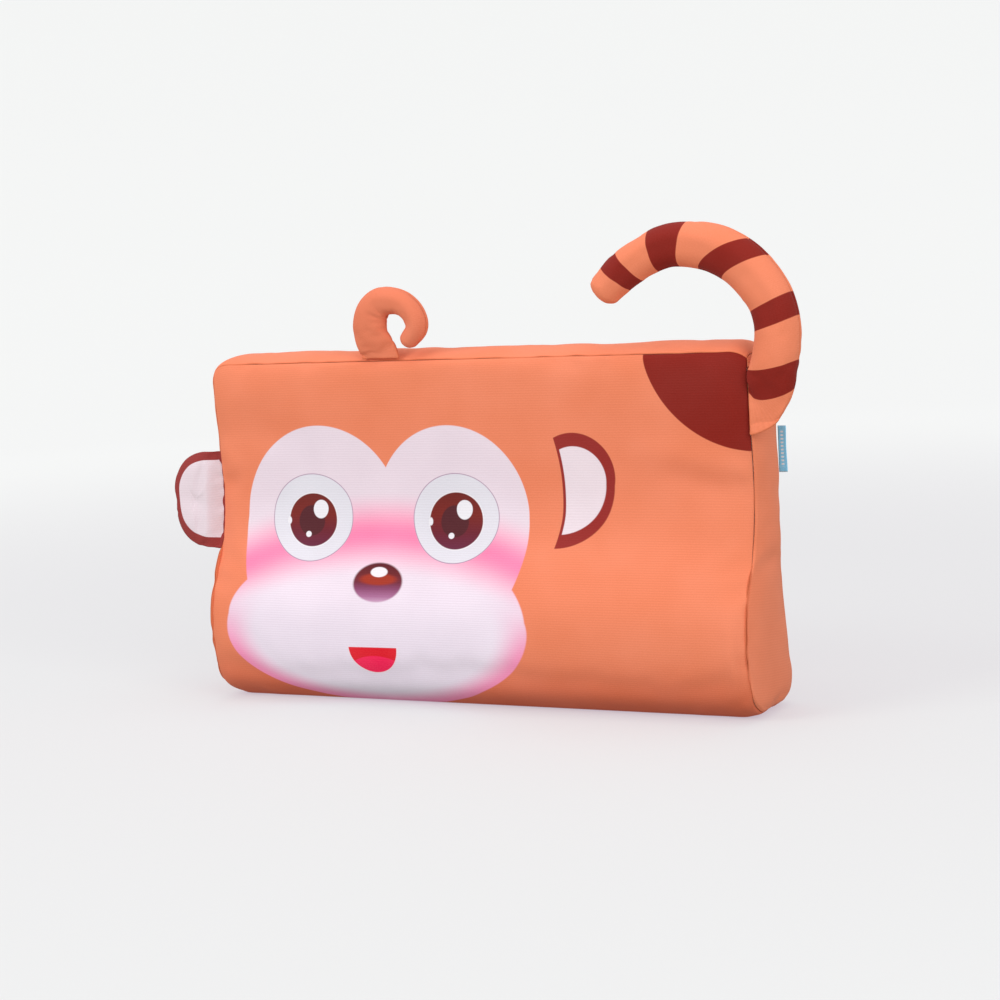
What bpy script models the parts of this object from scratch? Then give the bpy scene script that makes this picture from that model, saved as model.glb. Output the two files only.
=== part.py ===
"""Child's contour pillow in a monkey cover, standing on its long, thick edge.

A foam block in a plain liner is zipped into a knitted cover. A striped tail, a curl of hair and
one ear are sewn into the cover's seams, and a small tag into the seam at the back.

Frame: the origin is on the floor under the middle of the base, +X points to the tail's end,
+Y to the back and +Z up. All sizes are in metres.
"""
import math

import bmesh
import bpy
from mathutils import Vector

MM = 0.001

# Driving dimensions of the pillow
WIDTH = 500 * MM
END_ROUND = 20 * MM
END_CROWN = 4 * MM
COVER = 1.5 * MM
LINER = 0.8 * MM
GAP = 0.3 * MM
SEAM_GAP = 0.2 * MM

# Outline of the pillow's end, as (y, z) in millimetres, going down the front and up the back
FRONT_KEYS = [(-31, 292.5), (-33.5, 281), (-33, 258), (-30.5, 228), (-28, 190), (-28.5, 165),
              (-34, 140), (-46.5, 113), (-56, 88), (-58.5, 63), (-55.5, 37), (-47, 14.5), (-25, 0)]
BACK_LOW_KEYS = [(25, 0), (42, 6.5), (49, 23), (46, 45), (41, 72), (36.5, 95), (34, 115)]
BACK_LOW_STEPS = 7
BACK_FLAT_Y = 34
BACK_FLAT_LEVELS = [123, 130, 137, 175, 225, 276]
BACK_TOP_KEYS = [(33.2, 286), (30.5, 293.5)]
TOP_KEYS = [(21, 298.6), (0, 300), (-21, 298.6)]
BOTTOM_STEPS = 4
SPINE_LOW = 40 * MM
SPINE_HIGH = 268 * MM

# Rounding of the two ends, as angles of a quarter turn, and the seam's place on it
END_ANGLES = [0, 30, 60, 90]
SEAM_ANGLE = 60
INSET_Y = 6.5 * MM
INSET_TOP = 20 * MM
INSET_BASE = 9 * MM
MIDDLE_STATIONS = [-200 * MM, -70 * MM, 70 * MM, 200 * MM]

# The outline's runs that have a panel of their own, and the skin's panels
BACK_RUN = 2
TOP_RUN = 3
PANELS = ["front_panel", "back_panel", "top_strip", "right_end_panel", "left_end_panel", "zip_slot"]

# Zip across the back
ZIP_HALF = 200 * MM
ZIP_Z = 130 * MM
ZIP_SLOT_HALF = 7 * MM
ZIP_FACE_Y = BACK_FLAT_Y * MM
TAPE_OUT = 0.1 * MM
TAPE_IN = 0.7 * MM
COIL_OUT = 0.9 * MM
COIL_Z = (0.5 * MM, 1.9 * MM)
TAPE_Z = (2.2 * MM, 6.7 * MM)
SLIDER_X = 188 * MM
SLIDER_HALF = (4.5 * MM, 4 * MM)
PLATE = 0.8 * MM
NECK_HALF = 0.25 * MM
NECK_X = (1.5 * MM, 4 * MM)
BAIL_HALF = (3.7 * MM, 0.7 * MM)
BAIL_OUT = (1 * MM, 1.7 * MM)
BAIL_LEG = 1 * MM
STOP_X = (-197 * MM, 194 * MM)
STOP_LENGTH = 3 * MM
PULL_AXIS_Y = ZIP_FACE_Y + 3.1 * MM
PULL_TAB_X = (-26 * MM, -5 * MM)
PULL_TAB_HALF = (0.45 * MM, 3.4 * MM)
PULL_BAR_HALF = (0.45 * MM, 2.6 * MM)
PULL_ARM_X = (-5.5 * MM, 0.4 * MM)
PULL_ARM_HALF = 0.4 * MM
PULL_ARM_Z = (1.4 * MM, 2.5 * MM)

# Tail: centre line and half widths in the plane of the front seam, (x, z, half width, half depth)
TAIL_Y = -30 * MM
TAIL_ROOT = (248.5 * MM, -29 * MM)
TAIL_KEYS = [(250.2, 253.5, 27, 1.6), (257, 258, 24, 6), (265, 270, 21, 11), (270, 288, 19.5, 14),
             (272, 308, 19, 15), (268.5, 327, 19, 15.5), (260, 343, 19.5, 16), (244, 360, 19.5, 16),
             (226, 370.5, 19.5, 16), (206, 375.5, 18.5, 15.5), (185, 375.5, 17.5, 15),
             (164, 368, 16.5, 14.5), (146, 357, 16, 14), (130.5, 344.5, 15, 13)]
TAIL_SEGMENTS = 26
TAIL_TIP = 12 * MM

# Curl of hair on the top front seam
CURL_Y = -32 * MM
CURL_KEYS = [(-77, 296.2, 17.5, 1.6), (-81, 304, 17.5, 6), (-84.5, 313, 16.5, 9), (-85, 322, 16, 11),
             (-82, 332, 15, 12), (-74, 340, 13.5, 12), (-63, 341, 12, 12), (-51.5, 337, 11, 11.5),
             (-43, 328, 10.5, 11), (-41.5, 318, 10, 10.5), (-48.5, 309, 8.7, 9.5)]
CURL_SEGMENTS = 20
CURL_TIP = 7.5 * MM

# Both stuffed tubes
TUBE_SKIN = 1.2 * MM
TUBE_SIDES = 12
TIP_ANGLES = [35, 65]
FILLING_FIRST_RING = 4
# Near its root a tube stays inside a wedge, so that it can swing without touching the pillow
TUBE_ROOT_RINGS = 8
TUBE_FLARE = 0.7
TUBE_PARTS = ["root", "front", "back"]

# Ear on the front seam at the left
EAR_BASE_X = -249.4 * MM
EAR_BOTTOM = (-38 * MM, 130 * MM)
EAR_TOP = (-30.5 * MM, 216 * MM)
EAR_KEYS = [(0, 1), (-13, 3.5), (-25, 9), (-33.5, 18), (-38.5, 30), (-41, 50), (-40, 62),
            (-35, 73), (-26, 81.5), (-13, 86), (0, 86)]
EAR_HALF_DEPTH = 4 * MM
EAR_ROOT_HALF = 1.4 * MM
EAR_RIM_HALF = 0.9 * MM
EAR_FLARE = 0.5
EAR_SKIN = 0.7 * MM
EAR_SEGMENTS = 20
# The ear is a lens: three rings of the outline, at these shares of its size and of its depth
EAR_RINGS = [(1.0, 0.0), (0.9, 0.7), (0.72, 1.0)]
EAR_CENTRE = Vector((-18 * MM, 44 * MM))

# Tag in the back seam at the right
TAG_SIZE = (7.5 * MM, 0.8 * MM, 38 * MM)
TAG_CORNER = (249.6 * MM, 32.2 * MM, 190.5 * MM)

COLOURS = {
    "orange_knit": (0.82, 0.24, 0.12),
    "brown_knit": (0.26, 0.022, 0.016),
    "lilac_knit": (0.78, 0.68, 0.76),
    "foam": (0.86, 0.80, 0.62),
    "liner": (0.85, 0.85, 0.84),
    "filling": (0.88, 0.88, 0.86),
    "tag": (0.07, 0.24, 0.42),
    "zip": (0.62, 0.20, 0.11),
    "zip_metal": (0.62, 0.60, 0.58),
}


def clear_scene():
    """Removes every object that is in the scene."""
    for item in list(bpy.data.objects):
        bpy.data.objects.remove(item, do_unlink=True)


def material(name):
    """Returns the named material, and makes it the first time."""
    found = bpy.data.materials.get(name)
    if found:
        return found
    made = bpy.data.materials.new(name)
    made.use_nodes = True
    shader = made.node_tree.nodes["Principled BSDF"]
    shader.inputs["Base Color"].default_value = (*COLOURS[name], 1.0)
    shader.inputs["Roughness"].default_value = 0.35 if name == "zip_metal" else 0.9
    shader.inputs["Metallic"].default_value = 1.0 if name == "zip_metal" else 0.0
    made.diffuse_color = (*COLOURS[name], 1.0)
    return made


def add_object(name, bm, material_name, origin=(0, 0, 0), smooth=True):
    """Makes an object from a bmesh in world coordinates, with its origin where it is asked for."""
    origin = Vector(origin)
    bmesh.ops.translate(bm, verts=bm.verts[:], vec=-origin)
    bmesh.ops.recalc_face_normals(bm, faces=bm.faces[:])
    mesh = bpy.data.meshes.new(name)
    bm.to_mesh(mesh)
    bm.free()
    if smooth:
        mesh.shade_smooth()
        mesh.set_sharp_from_angle(angle=math.radians(40))
    mesh.materials.append(material(material_name))
    item = bpy.data.objects.new(name, mesh)
    item.location = origin
    bpy.context.collection.objects.link(item)
    return item


def spline(keys, segments):
    """Samples a smooth curve through the keys, evenly in key number, as tuples of floats."""
    points = []
    last = len(keys) - 1
    for step in range(segments + 1):
        place = last * step / segments
        index = min(int(place), last - 1)
        t = place - index
        before, start = keys[max(index - 1, 0)], keys[index]
        end, after = keys[index + 1], keys[min(index + 2, last)]
        points.append(tuple(
            0.5 * (2 * b + (c - a) * t + (2 * a - 5 * b + 4 * c - d) * t ** 2
                   + (3 * b - a - 3 * c + d) * t ** 3)
            for a, b, c, d in zip(before, start, end, after)))
    return points


# The pillow's skin

def outline_runs():
    """Returns the end outline's four runs as lists of (y, z): front, bottom, back and top."""
    back = spline(BACK_LOW_KEYS, BACK_LOW_STEPS)
    back += [(BACK_FLAT_Y, level) for level in BACK_FLAT_LEVELS] + BACK_TOP_KEYS
    front = spline(FRONT_KEYS, len(back) - 1)
    first, last = front[-1][0], back[0][0]
    bottom = [(first + (last - first) * i / BOTTOM_STEPS, 0.0) for i in range(BOTTOM_STEPS + 1)]
    top = [back[-1]] + TOP_KEYS + [front[0]]
    runs = [front, bottom, back, top]
    return [[(y * MM, z * MM) for y, z in run] for run in runs]


def stations():
    """Returns the skin's rings along X as (x, angle), where the angle says how far it is rounded."""
    start = WIDTH / 2 - END_ROUND
    right = [(start + END_ROUND * math.sin(math.radians(a)), a) for a in END_ANGLES]
    left = [(-x, a) for x, a in reversed(right)]
    return left + [(x, 0) for x in MIDDLE_STATIONS] + right


def rounded(point, angle, middle_y):
    """Moves an outline point inwards, as far as the end's rounding does at this angle."""
    y, z = point
    target = Vector((middle_y, min(max(z, SPINE_LOW), SPINE_HIGH)))
    inward = (target - Vector(point)).normalized()
    amount = 1 - math.cos(math.radians(angle))
    inset_z = INSET_TOP if z > SPINE_LOW else INSET_BASE
    return (y + inward.x * INSET_Y * amount, z + inward.y * inset_z * amount)


def end_cap_point(sides, v, u, i, j):
    """Returns a point between the end's four edges (a Coons patch), and how far it is crowned."""
    front, bottom, back, top = sides
    across = front[i] * (1 - u) + back[i] * u
    along = top[j] * (1 - v) + bottom[j] * v
    corners = (front[0] * (1 - u) + back[0] * u) * (1 - v) + (front[-1] * (1 - u) + back[-1] * u) * v
    bulge = math.sqrt(16 * u * (1 - u) * v * (1 - v))
    return across + along - corners, END_CROWN * bulge


def panel_of(reach, angle, run, level):
    """Names the panel of one patch of skin, from its X range, its rounding, its run and height."""
    if angle > SEAM_ANGLE:
        return "right_end_panel" if reach[0] > 0 else "left_end_panel"
    if run == TOP_RUN:
        return "top_strip"
    if run == BACK_RUN and abs(level - ZIP_Z) < ZIP_SLOT_HALF and max(map(abs, reach)) <= ZIP_HALF:
        return "zip_slot"
    if run == BACK_RUN and level > ZIP_Z:
        return "back_panel"
    return "front_panel"


def build_sides(bm, runs):
    """Builds the skin's rings along X and the faces between them, and returns the rings."""
    panel = bm.faces.layers.int["panel"]
    front, _, back, _ = runs
    middles = {}
    for front_point, back_point in zip(front, reversed(back)):
        middles[front_point] = middles[back_point] = (front_point[0] + back_point[0]) / 2
    loop = [(point, run) for run, points in enumerate(runs) for point in points[:-1]]
    places = stations()
    rings = []
    for x, angle in places:
        moved = [rounded(point, angle, middles.get(point, 0.0)) for point, _ in loop]
        rings.append([bm.verts.new((x, y, z)) for y, z in moved])
    for k in range(len(rings) - 1):
        angle = max(places[k][1], places[k + 1][1])
        reach = (places[k][0], places[k + 1][0])
        for j, (point, run) in enumerate(loop):
            n = (j + 1) % len(loop)
            face = bm.faces.new((rings[k][j], rings[k][n], rings[k + 1][n], rings[k + 1][j]))
            level = (point[1] + loop[n][0][1]) / 2
            face[panel] = PANELS.index(panel_of(reach, angle, run, level))
    return rings


def build_end(bm, runs, ring, sign):
    """Closes one end of the skin with a crowned grid inside its last ring."""
    panel = bm.faces.layers.int["panel"]
    number = PANELS.index("right_end_panel" if sign > 0 else "left_end_panel")
    edges, start = [], 0
    for run in runs:
        edges.append([ring[(start + i) % len(ring)] for i in range(len(run))])
        start += len(run) - 1
    front, bottom, back, top = edges
    back, top = back[::-1], top[::-1]
    flat = [[Vector((vert.co.y, vert.co.z)) for vert in edge] for edge in (front, bottom, back, top)]
    rows, columns = len(front) - 1, len(bottom) - 1
    grid = [front]
    for j in range(1, columns):
        line = [top[j]]
        for i in range(1, rows):
            place, crown = end_cap_point(flat, i / rows, j / columns, i, j)
            line.append(bm.verts.new((sign * (WIDTH / 2 + crown), place.x, place.y)))
        grid.append(line + [bottom[j]])
    grid.append(back)
    for left, right in zip(grid, grid[1:]):
        for i in range(rows):
            face = bm.faces.new((left[i], right[i], right[i + 1], left[i + 1]))
            face[panel] = number


def build_skin():
    """Builds the pillow's closed outer skin, with each face's panel number in a face layer."""
    bm = bmesh.new()
    bm.faces.layers.int.new("panel")
    runs = outline_runs()
    rings = build_sides(bm, runs)
    build_end(bm, runs, rings[0], -1)
    build_end(bm, runs, rings[-1], 1)
    bmesh.ops.recalc_face_normals(bm, faces=bm.faces[:])
    return bm


def slab(skin, wanted, depth_out, depth_in):
    """Makes a closed slab from some faces of a closed skin, between two depths under it.

    wanted holds the panel numbers of those faces. The slab's edges stop a little short of its
    neighbours'.
    """
    bm = skin.copy()
    bm.normal_update()
    panel = bm.faces.layers.int["panel"]
    directions = bm.verts.layers.float_vector.new("direction")
    for vert in bm.verts:
        vert[directions] = vert.normal
    gone = [face for face in bm.faces if face[panel] not in wanted]
    bmesh.ops.delete(bm, geom=gone, context="FACES")
    rim = [edge for edge in bm.edges if edge.is_boundary]
    pulls = {}
    for vert in {vert for edge in rim for vert in edge.verts}:
        pull = sum((face.calc_center_median() - vert.co for face in vert.link_faces), Vector())
        pull -= pull.dot(vert[directions]) * vert[directions]
        pulls[vert] = pull.normalized() * SEAM_GAP
    for vert in bm.verts:
        vert.co += pulls.get(vert, Vector()) - vert[directions] * depth_out
    copied = bmesh.ops.duplicate(bm, geom=bm.verts[:] + bm.edges[:] + bm.faces[:])
    twins = copied["vert_map"]
    lower = [item for item in copied["geom"] if isinstance(item, bmesh.types.BMFace)]
    for vert in {vert for face in lower for vert in face.verts}:
        vert.co -= vert[directions] * (depth_in - depth_out)
    bmesh.ops.reverse_faces(bm, faces=lower)
    for edge in rim:
        first, second = edge.verts
        bm.faces.new((first, second, twins[second], twins[first]))
    return bm


def shrunk(skin, depth):
    """Copies a closed skin, moved inwards by a depth."""
    bm = skin.copy()
    bm.normal_update()
    moves = [(vert, vert.normal.copy()) for vert in bm.verts]
    for vert, direction in moves:
        vert.co -= direction * depth
    return bm


def build_pillow():
    """Builds the foam, its liner and the cover's panels."""
    skin = build_skin()
    slot = PANELS.index("zip_slot")
    for number, name in enumerate(PANELS):
        if number != slot:
            add_object(name, slab(skin, {number}, 0.0, COVER), "orange_knit")
    liner_out = COVER + GAP
    others = set(range(len(PANELS))) - {slot}
    add_object("inner_liner", slab(skin, others, liner_out, liner_out + LINER), "liner")
    add_object("liner_zip", slab(skin, {slot}, liner_out, liner_out + LINER), "liner")
    add_object("foam_core", shrunk(skin, liner_out + LINER + GAP), "foam")
    skin.free()


# Stuffed tubes

def tube_rings(keys, segments, tip, root_direction):
    """Returns a tube's rings as (centre, direction, half width, half depth), and its tip point."""
    samples = spline(keys, segments)
    rings = []
    for i, (x, z, half_width, half_depth) in enumerate(samples):
        ahead, behind = samples[min(i + 1, segments)], samples[max(i - 1, 0)]
        along = Vector((ahead[0] - behind[0], ahead[1] - behind[1])).normalized()
        if i == 0:
            along = root_direction
        rings.append((Vector((x, z)) * MM, along, half_width * MM, half_depth * MM))
    centre, along, half_width, half_depth = rings[-1]
    for angle in TIP_ANGLES:
        turn = math.radians(angle)
        rings.append((centre + along * tip * math.sin(turn), along,
                      half_width * math.cos(turn), half_depth * math.cos(turn)))
    return rings, centre + along * tip


def build_tube(keys, segments, tip, plane_y, root_direction):
    """Builds a closed flattened tube around a centre line in a plane of constant Y.

    The face layer says root, front or back: TUBE_PARTS names the numbers.
    """
    rings, pole = tube_rings(keys, segments, tip, root_direction)
    bm = bmesh.new()
    panel = bm.faces.layers.int.new("panel")
    loops = []
    for centre, along, half_width, half_depth in rings:
        side = Vector((along.y, -along.x))
        loop = []
        for i in range(TUBE_SIDES):
            turn = 2 * math.pi * i / TUBE_SIDES
            flat = centre + side * half_width * math.cos(turn)
            rise = half_depth * math.sin(turn)
            if len(loops) <= TUBE_ROOT_RINGS:
                reach = (flat - rings[0][0]).dot(root_direction)
                flat += root_direction * max(TUBE_FLARE * abs(rise) - reach, 0.0)
            loop.append(bm.verts.new((flat.x, plane_y + rise, flat.y)))
        loops.append(loop)
    end = bm.verts.new((pole.x, plane_y, pole.y))
    for i in range(TUBE_SIDES):
        n = (i + 1) % TUBE_SIDES
        for first, second in zip(loops, loops[1:]):
            bm.faces.new((first[i], first[n], second[n], second[i]))
        bm.faces.new((loops[-1][i], loops[-1][n], end))
    for face in bm.faces:
        behind = face.calc_center_median().y > plane_y
        face[panel] = TUBE_PARTS.index("back" if behind else "front")
    bm.faces.new(loops[0])[panel] = TUBE_PARTS.index("root")
    bmesh.ops.recalc_face_normals(bm, faces=bm.faces[:])
    return bm


def build_filling(skin):
    """Builds the filling: the tube's skin moved inwards, without the flat rings at its root."""
    bm = shrunk(skin, TUBE_SKIN + 2 * GAP)
    bm.verts.ensure_lookup_table()
    start = FILLING_FIRST_RING * TUBE_SIDES
    cap = bm.verts[start:start + TUBE_SIDES]
    bmesh.ops.delete(bm, geom=bm.verts[:start], context="VERTS")
    bm.faces.new(cap)
    return bm


def build_stuffed_tube(prefix, keys, segments, tip, plane_y, root_direction, root):
    """Builds a tube's front and back fabric halves and the filling inside them."""
    skin = build_tube(keys, segments, tip, plane_y, root_direction)
    for side in ("front", "back"):
        half = slab(skin, {TUBE_PARTS.index(side)}, 0.0, TUBE_SKIN)
        add_object(f"{prefix}_{side}_panel", half, "orange_knit", root)
    add_object(prefix + "_filling", build_filling(skin), "filling", root)
    skin.free()


# Ear

def ear_plane_y(z):
    """Returns the Y of the ear's middle plane at a height."""
    share = (z - EAR_BOTTOM[1]) / (EAR_TOP[1] - EAR_BOTTOM[1])
    return EAR_BOTTOM[0] + share * (EAR_TOP[0] - EAR_BOTTOM[0])


def build_ear():
    """Builds the ear's two fabric layers and the wadding between them."""
    root = (EAR_BASE_X, EAR_BOTTOM[0], EAR_BOTTOM[1])
    build_ear_layer("ear_front_panel", -1, "lilac_knit", root)
    build_ear_layer("ear_back_panel", 1, "brown_knit", root)
    bm = ear_wadding()
    add_object("ear_wadding", bm, "filling", root)


def ear_surface(bm, side, depth, shrink, least):
    """Adds one face of the ear's lens to a bmesh and returns its rim.

    The face lies a depth under the ear's outside, and shrink pulls its outline in.
    """
    outline = [Vector(point) * MM for point in spline(EAR_KEYS, EAR_SEGMENTS)]
    rings = []
    for share, rise_share in EAR_RINGS:
        verts = []
        for point in outline:
            place = EAR_CENTRE + (point - EAR_CENTRE) * share
            place += (EAR_CENTRE - place).normalized() * shrink
            half = min(EAR_HALF_DEPTH, EAR_ROOT_HALF - place.x * EAR_FLARE)
            offset = max(EAR_RIM_HALF + (half - EAR_RIM_HALF) * rise_share - depth, least)
            z = EAR_BOTTOM[1] + place.y
            verts.append(bm.verts.new((EAR_BASE_X + place.x, ear_plane_y(z) + side * offset, z)))
        rings.append(verts)
    for outer, inner in zip(rings, rings[1:]):
        join_loops(bm, outer, inner)
    bm.faces.new(rings[-1])
    return rings[0]


def join_loops(bm, first, second):
    """Adds the faces between two loops of vertices."""
    for i in range(len(first)):
        n = (i + 1) % len(first)
        bm.faces.new((first[i], first[n], second[n], second[i]))


def build_ear():
    """Builds the ear's two fabric layers and the wadding between them."""
    root = (EAR_BASE_X, EAR_BOTTOM[0], EAR_BOTTOM[1])
    for name, side, colour in (("ear_front_panel", -1, "lilac_knit"),
                               ("ear_back_panel", 1, "brown_knit")):
        bm = bmesh.new()
        outer = ear_surface(bm, side, 0.0, 0.0, EAR_RIM_HALF)
        inner = ear_surface(bm, side, EAR_SKIN, 0.0, SEAM_GAP)
        join_loops(bm, outer, inner)
        add_object(name, bm, colour, root)
    bm = bmesh.new()
    faces = [ear_surface(bm, side, EAR_SKIN + 2 * GAP, 6 * MM, SEAM_GAP) for side in (-1, 1)]
    join_loops(bm, *faces)
    add_object("ear_wadding", bm, "filling", root)


# Small solid pieces

def block(bm, low, high):
    """Adds a box to a bmesh between two corners."""
    low, high = Vector(low), Vector(high)
    made = bmesh.ops.create_cube(bm, size=1.0)["verts"]
    bmesh.ops.scale(bm, verts=made, vec=high - low)
    bmesh.ops.translate(bm, verts=made, vec=(low + high) / 2)
    return made


def build_box(name, low, high, colour, origin=(0, 0, 0), bevel=0.0):
    """Builds one box piece, with its edges bevelled where asked for."""
    bm = bmesh.new()
    block(bm, low, high)
    if bevel:
        bmesh.ops.bevel(bm, geom=bm.edges[:], offset=bevel, segments=2, profile=0.5,
                        affect="EDGES")
    return add_object(name, bm, colour, origin, smooth=bool(bevel))


def build_tag():
    """Builds the tag, with its origin on the line where it is sewn in."""
    low = Vector(TAG_CORNER)
    high = low + Vector(TAG_SIZE)
    build_box("side_label", low, high, "tag", origin=low, bevel=0.2 * MM)


def extruded_along_x(outline, low, high):
    """Extrudes a closed outline of (y, z) points between two places along X."""
    bm = bmesh.new()
    face = bm.faces.new([bm.verts.new((low, y, z)) for y, z in outline])
    grown = bmesh.ops.extrude_face_region(bm, geom=[face])
    moved = [item for item in grown["geom"] if isinstance(item, bmesh.types.BMVert)]
    bmesh.ops.translate(bm, verts=moved, vec=(high - low, 0, 0))
    return bm


def unite(target, pieces):
    """Joins boxes, each given by two corners, to an object with exact boolean unions."""
    for low, high in pieces:
        piece = build_box("piece", low, high, "zip_metal")
        step = target.modifiers.new("Join", "BOOLEAN")
        step.operation = "UNION"
        step.solver = "EXACT"
        step.object = piece
        bpy.context.view_layer.update()
        graph = bpy.context.evaluated_depsgraph_get()
        joined = bpy.data.meshes.new_from_object(target.evaluated_get(graph))
        target.modifiers.clear()
        target.data = joined
        bpy.data.objects.remove(piece, do_unlink=True)


def build_slider():
    """Builds the zip's slider: two plates around the coils, a neck between them and a bail."""
    half_x, half_z = SLIDER_HALF
    plate_low = ZIP_FACE_Y + COIL_OUT + GAP
    plate_high = plate_low + PLATE
    lip_low = ZIP_FACE_Y + TAPE_OUT + GAP
    lip_inner = COIL_Z[1] + 0.5 * MM
    under_high = ZIP_FACE_Y - TAPE_IN - GAP
    under_low = ZIP_FACE_Y - COVER + 0.05 * MM
    # The section across the chain is an upper plate with two lips
    section = [(lip_low, -half_z), (lip_low, -lip_inner), (plate_low, -lip_inner),
               (plate_low, lip_inner), (lip_low, lip_inner), (lip_low, half_z),
               (plate_high, half_z), (plate_high, -half_z)]
    bm = extruded_along_x([(y, ZIP_Z + z) for y, z in section], SLIDER_X - half_x, SLIDER_X + half_x)
    slider = add_object("zip_slider", bm, "zip_metal", smooth=False)
    # The neck and the bail's legs reach a little into the plates, so that they join
    neck = ((SLIDER_X + NECK_X[0], under_low + 0.1 * MM, ZIP_Z - NECK_HALF),
            (SLIDER_X + NECK_X[1], plate_low + 0.3 * MM, ZIP_Z + NECK_HALF))
    under = ((SLIDER_X - half_x, under_low, ZIP_Z - half_z + 0.5 * MM),
             (SLIDER_X + half_x, under_high, ZIP_Z + half_z - 0.5 * MM))
    bail_low, bail_top = (PULL_AXIS_Y + out for out in BAIL_OUT)
    bail = [((SLIDER_X - BAIL_HALF[0], bail_low, ZIP_Z - BAIL_HALF[1]),
             (SLIDER_X + BAIL_HALF[0], bail_top, ZIP_Z + BAIL_HALF[1]))]
    for start in (SLIDER_X - BAIL_HALF[0], SLIDER_X + BAIL_HALF[0] - BAIL_LEG):
        bail.append(((start, plate_high - 0.2 * MM, ZIP_Z - BAIL_HALF[1]),
                     (start + BAIL_LEG, bail_top - 0.2 * MM, ZIP_Z + BAIL_HALF[1])))
    unite(slider, [neck, under] + bail)


def build_pull():
    """Builds the zip's pull: a tab with an eye, whose crossbar turns under the slider's bail."""
    axis = Vector((SLIDER_X, PULL_AXIS_Y, ZIP_Z))
    start, end = PULL_TAB_X
    half_thick, half_wide = PULL_TAB_HALF
    bm = bmesh.new()
    block(bm, axis + Vector((start, -half_thick, -half_wide)), axis + Vector((end, half_thick, half_wide)))
    bmesh.ops.bevel(bm, geom=bm.edges[:], offset=0.25 * MM, segments=1, affect="EDGES")
    pull = add_object("zip_pull", bm, "zip_metal", origin=axis, smooth=False)
    thick, wide = PULL_BAR_HALF
    near, far = PULL_ARM_Z
    crossbar = ((-thick, -thick, -wide), (thick, thick, wide))
    arms = [((PULL_ARM_X[0], -PULL_ARM_HALF, low), (PULL_ARM_X[1], PULL_ARM_HALF, high))
            for low, high in ((near, far), (-far, -near))]
    unite(pull, [(axis + Vector(low), axis + Vector(high)) for low, high in [crossbar] + arms])


def build_zip():
    """Builds the tapes, coils, stops, slider and pull of the zip."""
    tape_end = ZIP_HALF - GAP
    coil_start, coil_end = STOP_X[0] + STOP_LENGTH + 0.5 * MM, STOP_X[1] - 0.5 * MM
    inner, outer = ZIP_FACE_Y - TAPE_IN, ZIP_FACE_Y + COIL_OUT
    for name, sign in (("upper", 1), ("lower", -1)):
        low, high = sorted((ZIP_Z + sign * TAPE_Z[0], ZIP_Z + sign * TAPE_Z[1]))
        build_box("zip_tape_" + name, (-tape_end, inner, low),
                  (tape_end, ZIP_FACE_Y + TAPE_OUT, high), "zip")
        low, high = sorted((ZIP_Z + sign * COIL_Z[0], ZIP_Z + sign * COIL_Z[1]))
        build_box("zip_coil_" + name, (coil_start, inner, low), (coil_end, outer, high), "zip",
                  bevel=0.3 * MM)
    for name, start in zip(("zip_bottom_stop", "zip_top_stop"), STOP_X):
        build_box(name, (start, inner, ZIP_Z - COIL_Z[1]),
                  (start + STOP_LENGTH, outer, ZIP_Z + COIL_Z[1]), "zip_metal", bevel=0.3 * MM)
    build_slider()
    build_pull()


def main():
    """Builds every piece of the pillow."""
    clear_scene()
    build_pillow()
    build_stuffed_tube("tail", TAIL_KEYS, TAIL_SEGMENTS, TAIL_TIP, TAIL_Y, Vector((1, 0)),
                       (TAIL_ROOT[0], TAIL_ROOT[1], TAIL_KEYS[0][1] * MM))
    build_stuffed_tube("curl", CURL_KEYS, CURL_SEGMENTS, CURL_TIP, CURL_Y, Vector((0, 1)),
                       (CURL_KEYS[0][0] * MM, CURL_Y, CURL_KEYS[0][1] * MM))
    build_ear()
    build_tag()
    build_zip()


main()
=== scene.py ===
"""A child's contour pillow in a printed monkey cover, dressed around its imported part.

Lengths are in metres. The pillow stands on its thick edge: X runs along it, the printed
side faces -Y and Z points up.
"""

import logging
import math
from dataclasses import dataclass, replace
from enum import Enum
from typing import Callable, Iterable, Sequence

import bmesh
import bpy
import numpy as np
from bmesh.types import BMesh, BMVert
from bpy.types import Material, Node, NodeSocket, NodeTree, Object
from mathutils import Matrix, Vector, bvhtree, kdtree, noise


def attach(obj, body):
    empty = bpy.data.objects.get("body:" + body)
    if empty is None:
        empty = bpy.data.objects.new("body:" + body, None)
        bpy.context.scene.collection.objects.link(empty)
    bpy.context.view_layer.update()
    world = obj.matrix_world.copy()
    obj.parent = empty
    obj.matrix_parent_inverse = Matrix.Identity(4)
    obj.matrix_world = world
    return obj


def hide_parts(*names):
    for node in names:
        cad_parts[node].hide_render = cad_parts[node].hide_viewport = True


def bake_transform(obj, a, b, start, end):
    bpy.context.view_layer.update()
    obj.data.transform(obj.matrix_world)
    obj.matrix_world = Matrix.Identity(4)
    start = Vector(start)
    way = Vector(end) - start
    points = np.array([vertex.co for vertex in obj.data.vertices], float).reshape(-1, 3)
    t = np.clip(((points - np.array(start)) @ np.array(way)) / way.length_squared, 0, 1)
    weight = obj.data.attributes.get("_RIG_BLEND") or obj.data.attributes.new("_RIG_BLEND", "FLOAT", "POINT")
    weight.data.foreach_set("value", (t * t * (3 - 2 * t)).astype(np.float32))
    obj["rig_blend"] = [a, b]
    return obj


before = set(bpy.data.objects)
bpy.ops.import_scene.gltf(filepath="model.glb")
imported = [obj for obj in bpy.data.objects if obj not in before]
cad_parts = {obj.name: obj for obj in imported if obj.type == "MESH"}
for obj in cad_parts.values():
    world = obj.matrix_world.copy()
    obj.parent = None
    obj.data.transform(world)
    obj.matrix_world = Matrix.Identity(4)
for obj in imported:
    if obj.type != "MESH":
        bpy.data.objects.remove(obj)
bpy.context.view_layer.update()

MM = 0.001
logger = logging.getLogger("monkey_pillow")

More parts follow.
